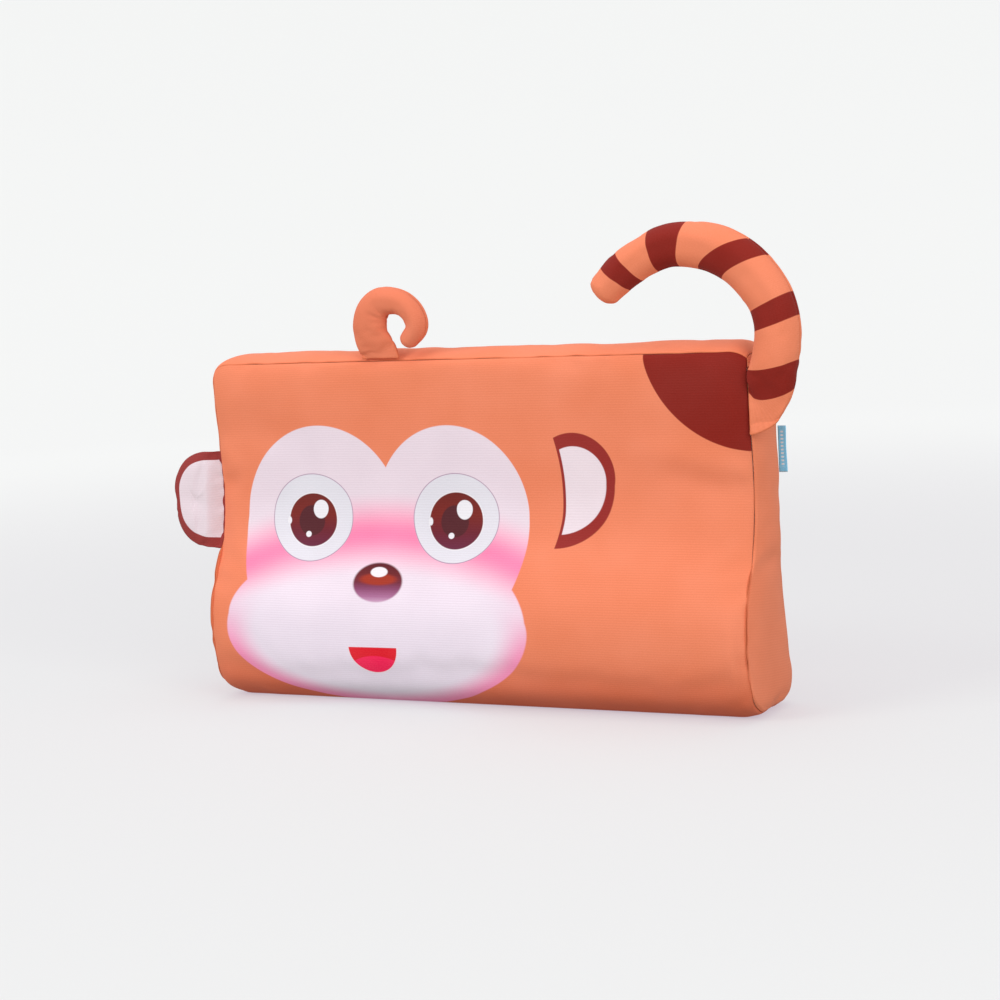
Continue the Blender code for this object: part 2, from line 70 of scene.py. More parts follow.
Pair = tuple[float, float]
Colour = tuple[float, float, float]
Place = tuple[float, float, float]
Bend = tuple[str, Place, Place]
UvRule = Callable[[Vector, float, float], tuple[Pair, Pair]]


# Curves and colours

def linear(shade: Colour, alpha: float = 1.0) -> tuple[float, float, float, float]:
    """Turns a display colour from 0 to 255 into linear light.

    Args:
        shade: Red, green and blue from 0 to 255.
        alpha: The fourth value to add.

    Returns:
        Linear red, green, blue and alpha from 0 to 1.
    """
    parts = [c / 255 for c in shade]
    lit = [c / 12.92 if c <= 0.04045 else ((c + 0.055) / 1.055) ** 2.4 for c in parts]
    return (lit[0], lit[1], lit[2], alpha)


def smooth_line(keys: Sequence[Sequence[float]], per_span: int = 24) -> np.ndarray:
    """Draws a smooth curve through keys given in millimetres.

    Args:
        keys: The keys; the first two numbers of each are its place.
        per_span: How many points each span between two keys gets.

    Returns:
        The curve's points, one row each, in metres.
    """
    k = np.asarray(keys, float)
    points = []
    for i in range(len(k) - 1):
        before, start = k[max(i - 1, 0)], k[i]
        end, after = k[i + 1], k[min(i + 2, len(k) - 1)]
        for t in np.linspace(0, 1, per_span, endpoint=False):
            points.append(0.5 * (2 * start + (end - before) * t
                                 + (2 * before - 5 * start + 4 * end - after) * t ** 2
                                 + (3 * start - before - 3 * end + after) * t ** 3))
    points.append(k[-1])
    return np.array(points) * MM


def distances_of(line: np.ndarray) -> np.ndarray:
    """Returns how far along a line each of its points, one row each, is."""
    steps = np.linalg.norm(np.diff(line[:, :2], axis=0), axis=1)
    return np.concatenate([[0.0], np.cumsum(steps)])


def points_at(line: np.ndarray, distances: Sequence[float]) -> np.ndarray:
    """Finds the points at given distances along a line.

    Args:
        line: Points, one row each.
        distances: Distances from the line's start.

    Returns:
        One row for each distance, with the line's columns.
    """
    along = distances_of(line)
    columns = [np.interp(distances, along, line[:, c]) for c in range(line.shape[1])]
    return np.stack(columns, axis=1)


def deselect() -> None:
    """Leaves edit mode and deselects everything."""
    if bpy.context.object is not None and bpy.context.object.mode != "OBJECT":
        bpy.ops.object.mode_set(mode="OBJECT")
    bpy.ops.object.select_all(action="DESELECT")


def pick(item: Object) -> Object:
    """Selects one object alone and makes it the active one.

    Args:
        item: The object.

    Returns:
        The same object.
    """
    deselect()
    item.select_set(True)
    bpy.context.view_layer.objects.active = item
    return item


def settle_transform(item: Object) -> None:
    """Puts an object's place, turn and size into its mesh."""
    pick(item)
    bpy.ops.object.transform_apply(location=True, rotation=True, scale=True)


def open_primitive(name: str, scale: Sequence[float] = (1.0, 1.0, 1.0)) -> Object:
    """Names the primitive just added, settles its size, and opens it in edit mode.

    Args:
        name: Its name.
        scale: Its scale along the primitive's own axes.

    Returns:
        The object.
    """
    item = bpy.context.object
    item.name = item.data.name = name
    item.scale = scale
    settle_transform(item)
    bpy.ops.object.mode_set(mode="EDIT")
    return item


def apply_all(item: Object) -> None:
    """Applies every modifier of an object, in order."""
    pick(item)
    for step in list(item.modifiers):
        bpy.ops.object.modifier_apply(modifier=step.name)


def report(item: Object) -> None:
    """Logs a finished piece with its face count."""
    logger.info("%s: %d faces", item.name, len(item.data.polygons))


def add_to_scene(name: str, data: bpy.types.ID) -> Object:
    """Makes an object of a mesh, a lamp or a camera and adds it to the scene.

    Args:
        name: The object's name.
        data: What it shows.

    Returns:
        The object.
    """
    item = bpy.data.objects.new(name, data)
    bpy.context.scene.collection.objects.link(item)
    return item


def smooth_object(name: str, bm: BMesh) -> Object:
    """Turns modelled faces into a smooth object, and frees them.

    Args:
        name: The object's name.
        bm: The faces.

    Returns:
        The object.
    """
    mesh = bpy.data.meshes.new(name)
    bm.to_mesh(mesh)
    bm.free()
    mesh.shade_smooth()
    return add_to_scene(name, mesh)


def thicken(item: Object, thickness: float, offset: float) -> None:
    """Gives a cloth its thickness; an offset of -1 puts all of it inside."""
    wall = item.modifiers.new("Thickness", "SOLIDIFY")
    wall.thickness, wall.offset = thickness, offset


def select_faces(item: Object, wanted: Callable[[Vector], bool]) -> None:
    """Selects the faces whose normals are wanted; the object is in edit mode."""
    bm = bmesh.from_edit_mesh(item.data)
    for face in bm.faces:
        face.select = wanted(face.normal)
    bmesh.update_edit_mesh(item.data)


def tree_of(places: Iterable[Sequence[float]]) -> kdtree.KDTree:
    """Makes a tree that finds the nearest of some places.

    Args:
        places: The places.

    Returns:
        The tree.
    """
    spots = list(places)
    tree = kdtree.KDTree(len(spots))
    for number, spot in enumerate(spots):
        tree.insert(spot, number)
    tree.balance()
    return tree


def flat_map(home: Vector, across: float, around: float) -> tuple[Pair, Pair]:
    """Lays the cloth map and the print map along the skin's own two lengths."""
    return (across, around), (across, around)


# Shaders

class NodeBench:
    """A node tree with short calls for the nodes that the finishes use."""

    def __init__(self, tree: NodeTree) -> None:
        """Keeps the material's or the group's node tree."""
        self.tree = tree

    def add(self, kind: str, **settings: object) -> Node:
        """Adds a node.

        Args:
            kind: The node's type name.
            **settings: Properties to set on it.

        Returns:
            The node.
        """
        node = self.tree.nodes.new(kind)
        for name, value in settings.items():
            setattr(node, name, value)
        return node

    def feed(self, socket: NodeSocket, value: object) -> None:
        """Links a socket to another, or sets its value.

        Args:
            socket: The input socket.
            value: An output socket or a plain value.
        """
        if isinstance(value, NodeSocket):
            self.tree.links.new(value, socket)
        else:
            socket.default_value = value

    def math(self, operation: str, *values: object, clamp: bool = False) -> NodeSocket:
        """Adds a Math node.

        Args:
            operation: Its operation.
            *values: Its inputs, as sockets or numbers.
            clamp: Whether the result is kept from 0 to 1.

        Returns:
            Its result.
        """
        node = self.add("ShaderNodeMath", operation=operation, use_clamp=clamp)
        for socket, value in zip(node.inputs, values):
            self.feed(socket, value)
        return node.outputs[0]

    def over(self, factor: object, under: object, top: object) -> NodeSocket:
        """Lays one colour over another.

        Args:
            factor: How much of the top colour shows.
            under: The colour underneath.
            top: The colour on top.

        Returns:
            The mixed colour.
        """
        node = self.add("ShaderNodeMix", data_type="RGBA", clamp_factor=True)
        self.feed(node.inputs[0], factor)
        self.feed(node.inputs[6], under)
        self.feed(node.inputs[7], top)
        return node.outputs[2]

    def ramp(self, value: object, stops: Sequence[tuple[float, Colour]]) -> NodeSocket:
        """Adds a colour ramp.

        Args:
            value: The number that runs along it.
            stops: Places from 0 to 1 with their display colours.

        Returns:
            The ramp's colour.
        """
        node = self.add("ShaderNodeValToRGB")
        self.feed(node.inputs[0], value)
        ends = node.color_ramp.elements
        while len(ends) < len(stops):
            ends.new(0.5)
        for element, (place, shade) in zip(ends, stops):
            element.position = place
            element.color = linear(shade)
        return node.outputs[0]

    def fade(self, value: object, start: float, end: float) -> NodeSocket:
        """Turns a number into a smooth step.

        Args:
            value: The number.
            start: Where the step is 0.
            end: Where the step is 1.

        Returns:
            A value from 0 to 1.
        """
        node = self.add("ShaderNodeMapRange", interpolation_type="SMOOTHSTEP")
        self.feed(node.inputs["Value"], value)
        node.inputs["From Min"].default_value = start
        node.inputs["From Max"].default_value = end
        return node.outputs[0]

    def place(self, uv_map: str) -> NodeSocket:
        """Reads one of the piece's UV maps: the place on the cloth, in metres."""
        return self.add("ShaderNodeUVMap", uv_map=uv_map).outputs[0]

    def object_point(self) -> NodeSocket:
        """Reads the piece's Object coordinates."""
        return self.add("ShaderNodeTexCoord").outputs["Object"]

    def attribute(self, name: str) -> NodeSocket:
        """Reads one of the piece's number attributes."""
        return self.add("ShaderNodeAttribute", attribute_name=name).outputs["Fac"]

    def axes(self, point: object) -> tuple[NodeSocket, ...]:
        """Splits a point.

        Args:
            point: The point.

        Returns:
            Its three numbers.
        """
        parts = self.add("ShaderNodeSeparateXYZ")
        self.feed(parts.inputs[0], point)
        return tuple(parts.outputs)

    def vector(self, operation: str, *values: object) -> Node:
        """Adds a Vector Math node.

        Args:
            operation: Its operation.
            *values: Its inputs.

        Returns:
            The node.
        """
        node = self.add("ShaderNodeVectorMath", operation=operation)
        for socket, value in zip(node.inputs, values):
            self.feed(socket, value)
        return node

    def noise(self, point: object, scale: float, detail: float = 2.0) -> NodeSocket:
        """Adds a noise texture.

        Args:
            point: Where it is read.
            scale: Its scale per metre.
            detail: Its octaves.

        Returns:
            A value near 0.5.
        """
        node = self.add("ShaderNodeTexNoise")
        self.give(node, Vector=point, Scale=scale, Detail=detail)
        return node.outputs["Fac"]

    def give(self, node: Node, **values: object) -> None:
        """Feeds a node's inputs, named with underscores for spaces."""
        for name, value in values.items():
            self.feed(node.inputs[name.replace("_", " ")], value)

    def use(self, group: NodeTree, **values: object) -> Node:
        """Places a shared node group.

        Args:
            group: The group.
            **values: Its inputs, by name with underscores for spaces.

        Returns:
            The group's node.
        """
        node = self.add("ShaderNodeGroup", node_tree=group)
        self.give(node, **values)
        return node

    def emboss(self, shader: Node, height: object, distance: float,
               strength: float = 1.0, invert: bool = False) -> None:
        """Gives a shader a relief.

        Args:
            shader: The shader.
            height: The relief's height from 0 to 1.
            distance: How deep it goes, in metres.
            strength: How much of it shows.
            invert: Whether high and low change places.
        """
        bump = self.add("ShaderNodeBump", invert=invert)
        self.give(bump, Strength=strength, Distance=distance, Height=height)
        self.feed(shader.inputs["Normal"], bump.outputs[0])


class Socket(Enum):
    """The kinds of socket that the shared groups have."""

    NUMBER = "NodeSocketFloat"
    POINT = "NodeSocketVector"
    COLOUR = "NodeSocketColor"


Sockets = Sequence[tuple[str, Socket]]


def start_group(name: str, takes: Sockets, gives: Sockets) -> tuple[NodeBench, Node, Node]:
    """Starts a shader node group with named inputs and outputs.

    Args:
        name: The group's name.
        takes: Its inputs.
        gives: Its outputs.

    Returns:
        The group's bench, its input node and its output node.
    """
    tree = bpy.data.node_groups.new(name, "ShaderNodeTree")
    for title, kind in takes:
        tree.interface.new_socket(title, in_out="INPUT", socket_type=kind.value)
    for title, kind in gives:
        tree.interface.new_socket(title, in_out="OUTPUT", socket_type=kind.value)
    bench = NodeBench(tree)
    return bench, bench.add("NodeGroupInput"), bench.add("NodeGroupOutput")


class ClothEffects:
    """The node groups that several finishes share."""

    def __init__(self) -> None:
        """Builds every group once."""
        self.oval = self.make_oval()
        self.knit = self.make_knit()
        self.weave = self.make_weave()
        self.mottle = self.make_mottle()
        self.seam = self.make_seam_shade()

    def make_oval(self) -> NodeTree:
        """Makes an oval mask whose edge is as soft as wanted.

        Returns:
            The group, which gives 1 inside the oval and 0 outside, and the distance as a
            share of the radius.
        """
        bench, into, out = start_group(
            "Printed oval", [("Point", Socket.POINT), ("Centre", Socket.POINT),
                             ("Radius", Socket.POINT), ("Softness", Socket.NUMBER)],
            [("Mask", Socket.NUMBER), ("Distance", Socket.NUMBER)])
        offset = bench.vector("SUBTRACT", into.outputs["Point"], into.outputs["Centre"])
        shaped = bench.vector("DIVIDE", offset.outputs[0], into.outputs["Radius"])
        size = bench.vector("LENGTH", shaped.outputs[0]).outputs["Value"]
        scaled = bench.math("DIVIDE", bench.math("SUBTRACT", 1.0, size), into.outputs["Softness"])
        bench.give(out, Mask=bench.fade(scaled, -0.5, 0.5), Distance=size)
        return bench.tree

    def wave(self, bench: NodeBench, turns: object, shift: object) -> NodeSocket:
        """Returns a wave from 0 to 1 with a number of turns and a shift of its angle."""
        angle = bench.math("ADD", bench.math("MULTIPLY", turns, 2 * math.pi), shift)
        return bench.math("MULTIPLY_ADD", bench.math("COSINE", angle), 0.5, 0.5)

    def make_knit(self) -> NodeTree:
        """Makes a knit of fine ribs, each a row of small loops.

        Returns:
            The group, which gives the relief's height and how deep a point is between ribs.
        """
        bench, into, out = start_group(
            "Ribbed knit", [("Point", Socket.POINT), ("Rib Pitch", Socket.NUMBER),
                            ("Loop Pitch", Socket.NUMBER)],
            [("Height", Socket.NUMBER), ("Groove", Socket.NUMBER)])
        point = into.outputs["Point"]
        x, y, _ = bench.axes(point)
        wander = bench.noise(point, 260.0, 1.0)
        sway = bench.math("MULTIPLY", bench.math("SUBTRACT", wander, 0.5), 1.1)
        row = bench.math("DIVIDE", y, into.outputs["Rib Pitch"])
        rib = self.wave(bench, row, sway)
        step = bench.math("MULTIPLY", bench.math("FLOOR", bench.math("ADD", row, 0.5)), math.pi)
        column = bench.math("DIVIDE", x, into.outputs["Loop Pitch"])
        loop = self.wave(bench, column, bench.math("ADD", step, sway))
        body = bench.math("MULTIPLY", rib, bench.math("MULTIPLY_ADD", loop, 0.45, 0.55))
        fuzz = bench.noise(point, 2600.0)
        bench.give(out, Height=bench.math("MULTIPLY_ADD", fuzz, 0.35, body),
                   Groove=bench.math("SUBTRACT", 1.0, body, clamp=True))
        return bench.tree

    def make_weave(self) -> NodeTree:
        """Makes a plain weave of threads that go over and under each other.

        Returns:
            The group, which gives the relief's height.
        """
        bench, into, out = start_group(
            "Plain weave", [("Point", Socket.POINT), ("Thread Pitch", Socket.NUMBER)],
            [("Height", Socket.NUMBER)])
        waves = []
        for way in bench.axes(into.outputs["Point"])[:2]:
            threads = bench.math("DIVIDE", way, into.outputs["Thread Pitch"])
            waves.append(bench.math("SINE", bench.math("MULTIPLY", threads, math.pi)))
        crossing = bench.math("MULTIPLY", *waves)
        bench.give(out, Height=bench.math("MULTIPLY_ADD", crossing, 0.5, 0.5))
        return bench.tree

    def make_mottle(self) -> NodeTree:
        """Makes a dye that is a little uneven over the cloth.

        Returns:
            The group, which gives the varied colour.
        """
        bench, into, out = start_group(
            "Uneven dye", [("Color", Socket.COLOUR), ("Point", Socket.POINT),
                           ("Amount", Socket.NUMBER)], [("Color", Socket.COLOUR)])
        point = into.outputs["Point"]
        both = bench.math("ADD", bench.math("MULTIPLY", bench.noise(point, 16.0), 0.6),
                          bench.math("MULTIPLY", bench.noise(point, 900.0, 1.0), 0.4))
        swing = bench.math("MULTIPLY", bench.math("SUBTRACT", both, 0.5), into.outputs["Amount"])
        tone = bench.add("ShaderNodeHueSaturation")
        bench.give(tone, Color=into.outputs["Color"], Value=bench.math("ADD", 1.0, swing),
                   Saturation=bench.math("SUBTRACT", 1.0, bench.math("MULTIPLY", swing, 0.5)))
        bench.give(out, Color=tone.outputs[0])
        return bench.tree

    def make_seam_shade(self) -> NodeTree:
        """Makes the painted shade beside a seam: the cloth darker and a little more saturated close to it.

        Returns:
            The group, which gives the colour with the painted shade.
        """
        bench, into, out = start_group(
            "Seam edge", [("Color", Socket.COLOUR), ("Distance", Socket.NUMBER),
                          ("Reach", Socket.NUMBER), ("Darkening", Socket.NUMBER)],
            [("Color", Socket.COLOUR)])
        share = bench.math("DIVIDE", into.outputs["Distance"], into.outputs["Reach"], clamp=True)
        near = bench.math("POWER", bench.math("SUBTRACT", 1.0, share), 2.0)
        dimmed = bench.math("MULTIPLY", near, into.outputs["Darkening"])
        dark = bench.add("ShaderNodeHueSaturation")
        bench.give(dark, Color=into.outputs["Color"],
                   Saturation=bench.math("MULTIPLY_ADD", near, 0.04, 1.0),
                   Value=bench.math("SUBTRACT", 1.0, dimmed))
        bench.give(out, Color=dark.outputs[0])
        return bench.tree


EFFECTS = ClothEffects()


def start_material(name: str) -> tuple[Material, NodeBench, Node]:
    """Starts a material with a Principled shader.

    Args:
        name: The material's name.

    Returns:
        The material, its bench and its shader.
    """
    made = bpy.data.materials.new(name)
    made.use_nodes = True
    made.node_tree.nodes.clear()
    bench = NodeBench(made.node_tree)
    shader = bench.add("ShaderNodeBsdfPrincipled")
    end = bench.add("ShaderNodeOutputMaterial")
    bench.feed(end.inputs["Surface"], shader.outputs[0])
    return made, bench, shader


def wear(item: Object, made: Material) -> None:
    """Gives a piece one material."""
    item.data.materials.clear()
    item.data.materials.append(made)


def declare(piece: Object, finish: Material, node: str = "",
            bend: Bend | None = None) -> None:
    """Args:
        piece: The piece.
        finish: Its material.
        node: The CAD node that it stands for, if there is one.
        bend: For a piece that is sewn to the pillow, the body it moves with and where its
            bend starts and ends. Without this it rides on the cushion.
    """
    wear(piece, finish)
    if bend:
        body, start, end = bend
        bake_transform(piece, "cushion", body, start=start, end=end)
    else:
        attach(piece, "cushion")
    if node:
        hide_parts(node)
    report(piece)


class Artwork:
    """What is printed on a cloth. Plain cloth has none."""

    def paint(self, bench: NodeBench, ground: object) -> object:
        """Returns the ground colour as it is."""
        return ground


@dataclass(frozen=True)
class KnitFinish:
    """A soft brushed knit with fine ribs, dyed or printed, with painted shade in the grooves between its
    ribs and beside its seams.

    The cloth map holds the place on the cloth with the ribs along its first axis.
    """

    name: str
    colour: Colour
    artwork: Artwork = Artwork()
    rib_pitch: float = 2.05 * MM
    loop_pitch: float = 1.25 * MM
    relief: float = 0.08 * MM
    # How strongly the painted shade in the grooves shows.
    groove: float = 0.08
    roughness: float = 0.86
    sheen: float = 0.04
    seam_shade: float = 0.2
    groove_shade_tint: Colour = (150, 120, 115)

    def material(self) -> Material:
        """Makes the knit's material.

        Returns:
            The material.
        """
        made, bench, shader = start_material(self.name)
        cloth = bench.place("cloth")
        colour = self.artwork.paint(bench, linear(self.colour))
        dyed = bench.use(EFFECTS.mottle, Color=colour, Point=cloth, Amount=0.22)
        # Painted shade beside the seams: the colour darkened within 2 mm of them.
        edged = bench.use(EFFECTS.seam, Color=dyed.outputs[0], Distance=bench.attribute("seam"),
                          Reach=2 * MM, Darkening=self.seam_shade)
        knit = bench.use(EFFECTS.knit, Point=cloth, Rib_Pitch=self.rib_pitch,
                         Loop_Pitch=self.loop_pitch)
        groove = knit.outputs["Groove"]
        # Painted shade in the grooves between the ribs, multiplied in with the groove shade tint.
        shaded = bench.add("ShaderNodeMix", data_type="RGBA", blend_type="MULTIPLY")
        bench.feed(shaded.inputs[0], bench.math("MULTIPLY", groove, self.groove))
        bench.feed(shaded.inputs[6], edged.outputs["Color"])
        bench.feed(shaded.inputs[7], linear(self.groove_shade_tint))
        bench.give(shader, Base_Color=shaded.outputs[2],
                   Roughness=bench.math("MULTIPLY_ADD", groove, 0.1, self.roughness - 0.05),
                   Sheen_Weight=self.sheen, Sheen_Roughness=0.45, Specular_IOR_Level=0.25)
        bench.emboss(shader, knit.outputs["Height"], self.relief, 0.55)
        return made


class FrontPrint:
    """The front's print in progress: where a point is, and the colour painted so far.

    Places and sizes are in millimetres right of the pillow's middle and above its base;
    under the base the height goes on below zero.
    """

    def __init__(self, bench: NodeBench, ground: object) -> None:
        """Starts with the plain cloth.

        Args:
            bench: The material's bench.
            ground: The cloth's own colour.
        """
        self.bench = bench
        self.point = bench.place("print")
        self.height = bench.axes(self.point)[1]
        self.colour = ground

    def ring(self, centre: Pair, radius: Pair, softness: float) -> Node:
        """Places the oval group; its softness is a share of its radius."""
        return self.bench.use(EFFECTS.oval, Point=self.point, Softness=softness,
                              Centre=(centre[0] * MM, centre[1] * MM, 0.0),
                              Radius=(radius[0] * MM, radius[1] * MM, 1.0))

    def oval(self, centre: Pair, radius: Pair, edge: float = 0.9) -> NodeSocket:
        """Returns the mask of an oval whose edge fades over a width."""
        return self.ring(centre, radius, edge / min(radius)).outputs["Mask"]

    def level(self, start: float, end: float) -> NodeSocket:
        """Returns a smooth step between two heights."""
        return self.bench.fade(self.height, start * MM, end * MM)

    def share(self, bottom: float, span: float) -> NodeSocket:
        """Returns how far up a point is between a height and a span above it."""
        above = self.bench.math("SUBTRACT", self.height, bottom * MM)
        return self.bench.math("DIVIDE", above, span * MM)

    def both(self, first: object, second: object) -> NodeSocket:
        """Returns where two masks overlap."""
        return self.bench.math("MULTIPLY", first, second)

    def either(self, first: object, *others: object) -> object:
        """Returns where any of some masks is."""
        for mask in others:
            first = self.bench.math("MAXIMUM", first, mask)
        return first

    def lay(self, mask: object, shade: object) -> None:
        """Paints a display colour, or the colour of a socket, where a mask is."""
        top = shade if isinstance(shade, NodeSocket) else linear(shade)
        self.colour = self.bench.over(mask, self.colour, top)

    def dab(self, centre: Pair, radius: Pair, shade: object, edge: float = 0.9) -> None:
        """Paints an oval."""
        self.lay(self.oval(centre, radius, edge), shade)


class MonkeyFace(Artwork):
    """The monkey's face, its second ear and the corner patch, printed on the front, with painted shade low
    on the front and painted bounce light on the lower face.
    """

    PALE: Colour = (235, 217, 228)
    PALE_BOUNCE_LIT: Colour = (241, 228, 243)
    BLUSH: Colour = (255, 126, 172)
    GLOW: Colour = (255, 130, 182)
    BROWN: Colour = (138, 32, 22)
    UNDERSIDE_SHADE: Colour = (226, 112, 80)
    EAR_BORDER: Colour = (152, 44, 40)
    EAR_INSIDE: Colour = (237, 220, 228)
    EYE_OUTLINE: Colour = (176, 146, 170)
    EYE_WHITE: Colour = (227, 223, 232)
    IRIS_RIM: Colour = (246, 240, 244)
    PUPIL: Colour = (86, 36, 42)
    EYE_LIGHT: Colour = (238, 234, 240)
    NOSE_BAND: Colour = (166, 54, 36)
    NOSE_LIGHT: Colour = (244, 236, 242)
    LIP_RIM: Colour = (244, 226, 236)
    LIPS: Colour = (232, 36, 50)
    TONGUE: Colour = (255, 46, 94)
    IRIS_TONES = ((0.0, (106, 42, 66)), (0.3, (110, 36, 48)), (0.6, (124, 40, 34)),
                  (1.0, (112, 38, 34)))
    NOSE_TONES = ((0.0, (204, 158, 190)), (0.14, (172, 110, 150)), (0.34, (138, 70, 106)),
                  (0.5, (116, 46, 62)), (0.72, (112, 38, 42)), (1.0, (92, 32, 42)))
    EYES: tuple[Pair, ...] = ((-152.3, 160.4), (-14.6, 160.5))
    ARCH = 367.0
    ARCH_HALF = 35.0

    def paint(self, bench: NodeBench, ground: object) -> object:
        """Paints everything on the front's print.

        Args:
            bench: The material's bench.
            ground: The cloth's own colour.

        Returns:
            The printed colour.
        """
        front = FrontPrint(bench, ground)
        # Painted shade: the front turns darker from 60 mm above the base down to its edge, then fades back
        # out far under the base.
        front.lay(front.both(front.level(60, -5), front.level(-70, -25)), self.UNDERSIDE_SHADE)
        front.dab((250, 306), (91.5, 91.5), self.BROWN)
        self.second_ear(front)
        self.face(front)
        for x, z in self.EYES:
            self.eye(front, x, z)
        self.nose(front)
        self.mouth(front)
        return front.colour

    def second_ear(self, front: FrontPrint) -> None:
        """Paints the printed ear: a round form with a hollow left side, and its inside.

        Args:
            front: The print.
        """
        for round_at, round_radius, low_at, low_radius, hollow, shade in (
                ((94, 194), 35.8, (76, 188), (53, 50.5), 163, self.EAR_BORDER),
                ((94, 191), 27.7, (78, 188), (43.5, 39.5), 165.5, self.EAR_INSIDE)):
            low = front.both(front.oval(low_at, low_radius), front.level(195, 191))
            form = front.either(low, front.oval(round_at, (round_radius, round_radius)))
            outside = front.bench.math("SUBTRACT", 1.0, front.oval((-80, 183), (hollow, hollow)))
            front.lay(front.both(form, outside), shade)

    def face(self, front: FrontPrint) -> None:
        """Paints the pale mask with its two brow lobes and muzzle, painted bounce light on its lower part,
        and the blush on it.

        Args:
            front: The print.
        """
        bench = front.bench
        muzzle = front.ring((-85.2, 68), (143.3, 70), 0.9 / 70)
        mask = front.either(
            muzzle.outputs["Mask"], front.oval((-85.2, 77), (141.5, 68)),
            front.oval((-143, 160), (75, 78)), front.oval((-19.5, 160), (71.5, 77)),
            front.both(front.oval((-83, 150), (135.5, 125)), front.level(164, 160)))
        # Painted light: the pale mask is lighter and more lilac towards its bottom, in place of light
        # bounced up from the floor.
        pale = bench.over(front.level(10, 190), linear(self.PALE_BOUNCE_LIT), linear(self.PALE))
        arch = front.ring((-82, -219.5), (self.ARCH, self.ARCH), 1.0)
        off = bench.math("ABSOLUTE", bench.math("SUBTRACT", arch.outputs["Distance"], 1.0))
        blush = bench.math("MULTIPLY", bench.fade(off, self.ARCH_HALF / self.ARCH, 0.0), 0.92)
        pale = bench.over(blush, pale, linear(self.BLUSH))
        rim = bench.fade(muzzle.outputs["Distance"], 0.78, 1.0)
        glow = bench.math("MULTIPLY", front.both(rim, front.level(104, 40)), 0.85)
        front.lay(mask, bench.over(glow, pale, linear(self.GLOW)))

    def eye(self, front: FrontPrint, x: float, z: float) -> None:
        """Paints one eye: its outline, white, iris, pupil and highlights.

        Args:
            front: The print.
            x: How far right its centre is.
            z: How high its centre is.
        """
        wide, tall = (24.5, 22.5) if (x, z) == self.EYES[-1] else (23.5, 21.6)
        middle = (x + 0.2, z - 2.4)
        front.dab((x, z), (39.7, 36.3), self.EYE_OUTLINE, 0.5)
        front.dab((x, z), (39.0, 35.6), self.EYE_WHITE, 0.5)
        front.dab(middle, (wide + 0.7, tall + 0.7), self.IRIS_RIM)
        front.dab(middle, (wide, tall), front.bench.ramp(front.share(z - 24, 44), self.IRIS_TONES))
        front.dab((x - 1.0, z - 2.8), (12.8, 12.2), self.PUPIL, 1.2)
        for place, radius in (((x + 7.8, z + 6.4), (7.3, 7.3)), ((x - 23.4, z - 2.6), (2.0, 3.0)),
                              ((x - 3.8, z - 13.8), (2.7, 2.5))):
            front.dab(place, radius, self.EYE_LIGHT, 0.7)

    def nose(self, front: FrontPrint) -> None:
        """Paints the glossy-looking nose with its warm band and its highlight.

        Args:
            front: The print.
        """
        tone = front.bench.ramp(front.share(93, 31), self.NOSE_TONES)
        front.dab((-82, 108.5), (23.4, 15.7), tone, 1.8)
        front.dab((-82, 111), (17.5, 4.6), self.NOSE_BAND, 2.4)
        front.dab((-82, 116.8), (8, 4.0), self.NOSE_LIGHT)

    def mouth(self, front: FrontPrint) -> None:
        """Paints the open mouth, flat on top, with its tongue and its thin pale rim.

        Args:
            front: The print.
        """
        below = front.level(53.3, 52.7)
        tongue = front.oval((-84, 24), (32, 21.5), 0.6)
        red = front.bench.over(tongue, linear(self.LIPS), linear(self.TONGUE))
        for radius, shade in (((24, 24), self.LIP_RIM), ((22.7, 22.8), red)):
            front.lay(front.both(front.oval((-85.3, 53), radius, 0.6), below), shade)


@dataclass(frozen=True)
class TailStripe:
    """One brown stripe across the tail: where each of its edges is, and how it slants."""

    start: float
    start_slant: float
    end: float
    end_slant: float


class TailPrint(Artwork):
    """The brown stripes across the tail, printed on both of its halves."""

    STRIPES: tuple[TailStripe, ...] = (
        TailStripe(2.6, 43.8, 31.9, 25.7), TailStripe(65.0, 12.9, 82.9, 3.0),
        TailStripe(119.5, -24.2, 141.7, -37.6), TailStripe(172.6, -11.0, 198.0, -10.3),
        TailStripe(220.9, 7.8, 236.5, 9.8))

    def paint(self, bench: NodeBench, ground: object) -> object:
        """Paints the stripes.

        Args:
            bench: The material's bench.
            ground: The cloth's own colour.

        Returns:
            The striped colour.
        """
        across, along, _ = bench.axes(bench.place("print"))
        colour = ground
        for stripe in self.STRIPES:
            sides = []
            for place, slant in ((stripe.start, stripe.start_slant),
                                 (stripe.end, stripe.end_slant)):
                edge = bench.math("MULTIPLY_ADD", across, math.tan(math.radians(slant)), place * MM)
                sides.append(bench.fade(bench.math("SUBTRACT", along, edge), -0.4 * MM, 0.4 * MM))
            colour = bench.over(bench.math("SUBTRACT", *sides, clamp=True), colour,
                                linear(MonkeyFace.BROWN))
        return colour


class EarPrint(Artwork):
    """The lilac inside of the sewn ear, within its brown border."""

    LILAC: Colour = (230, 212, 220)

    def paint(self, bench: NodeBench, ground: object) -> object:
        """Paints the inside, where the piece's inset is above zero."""
        inside = bench.fade(bench.attribute("inset"), -0.25 * MM, 0.25 * MM)
        return bench.over(inside, ground, linear(self.LILAC))


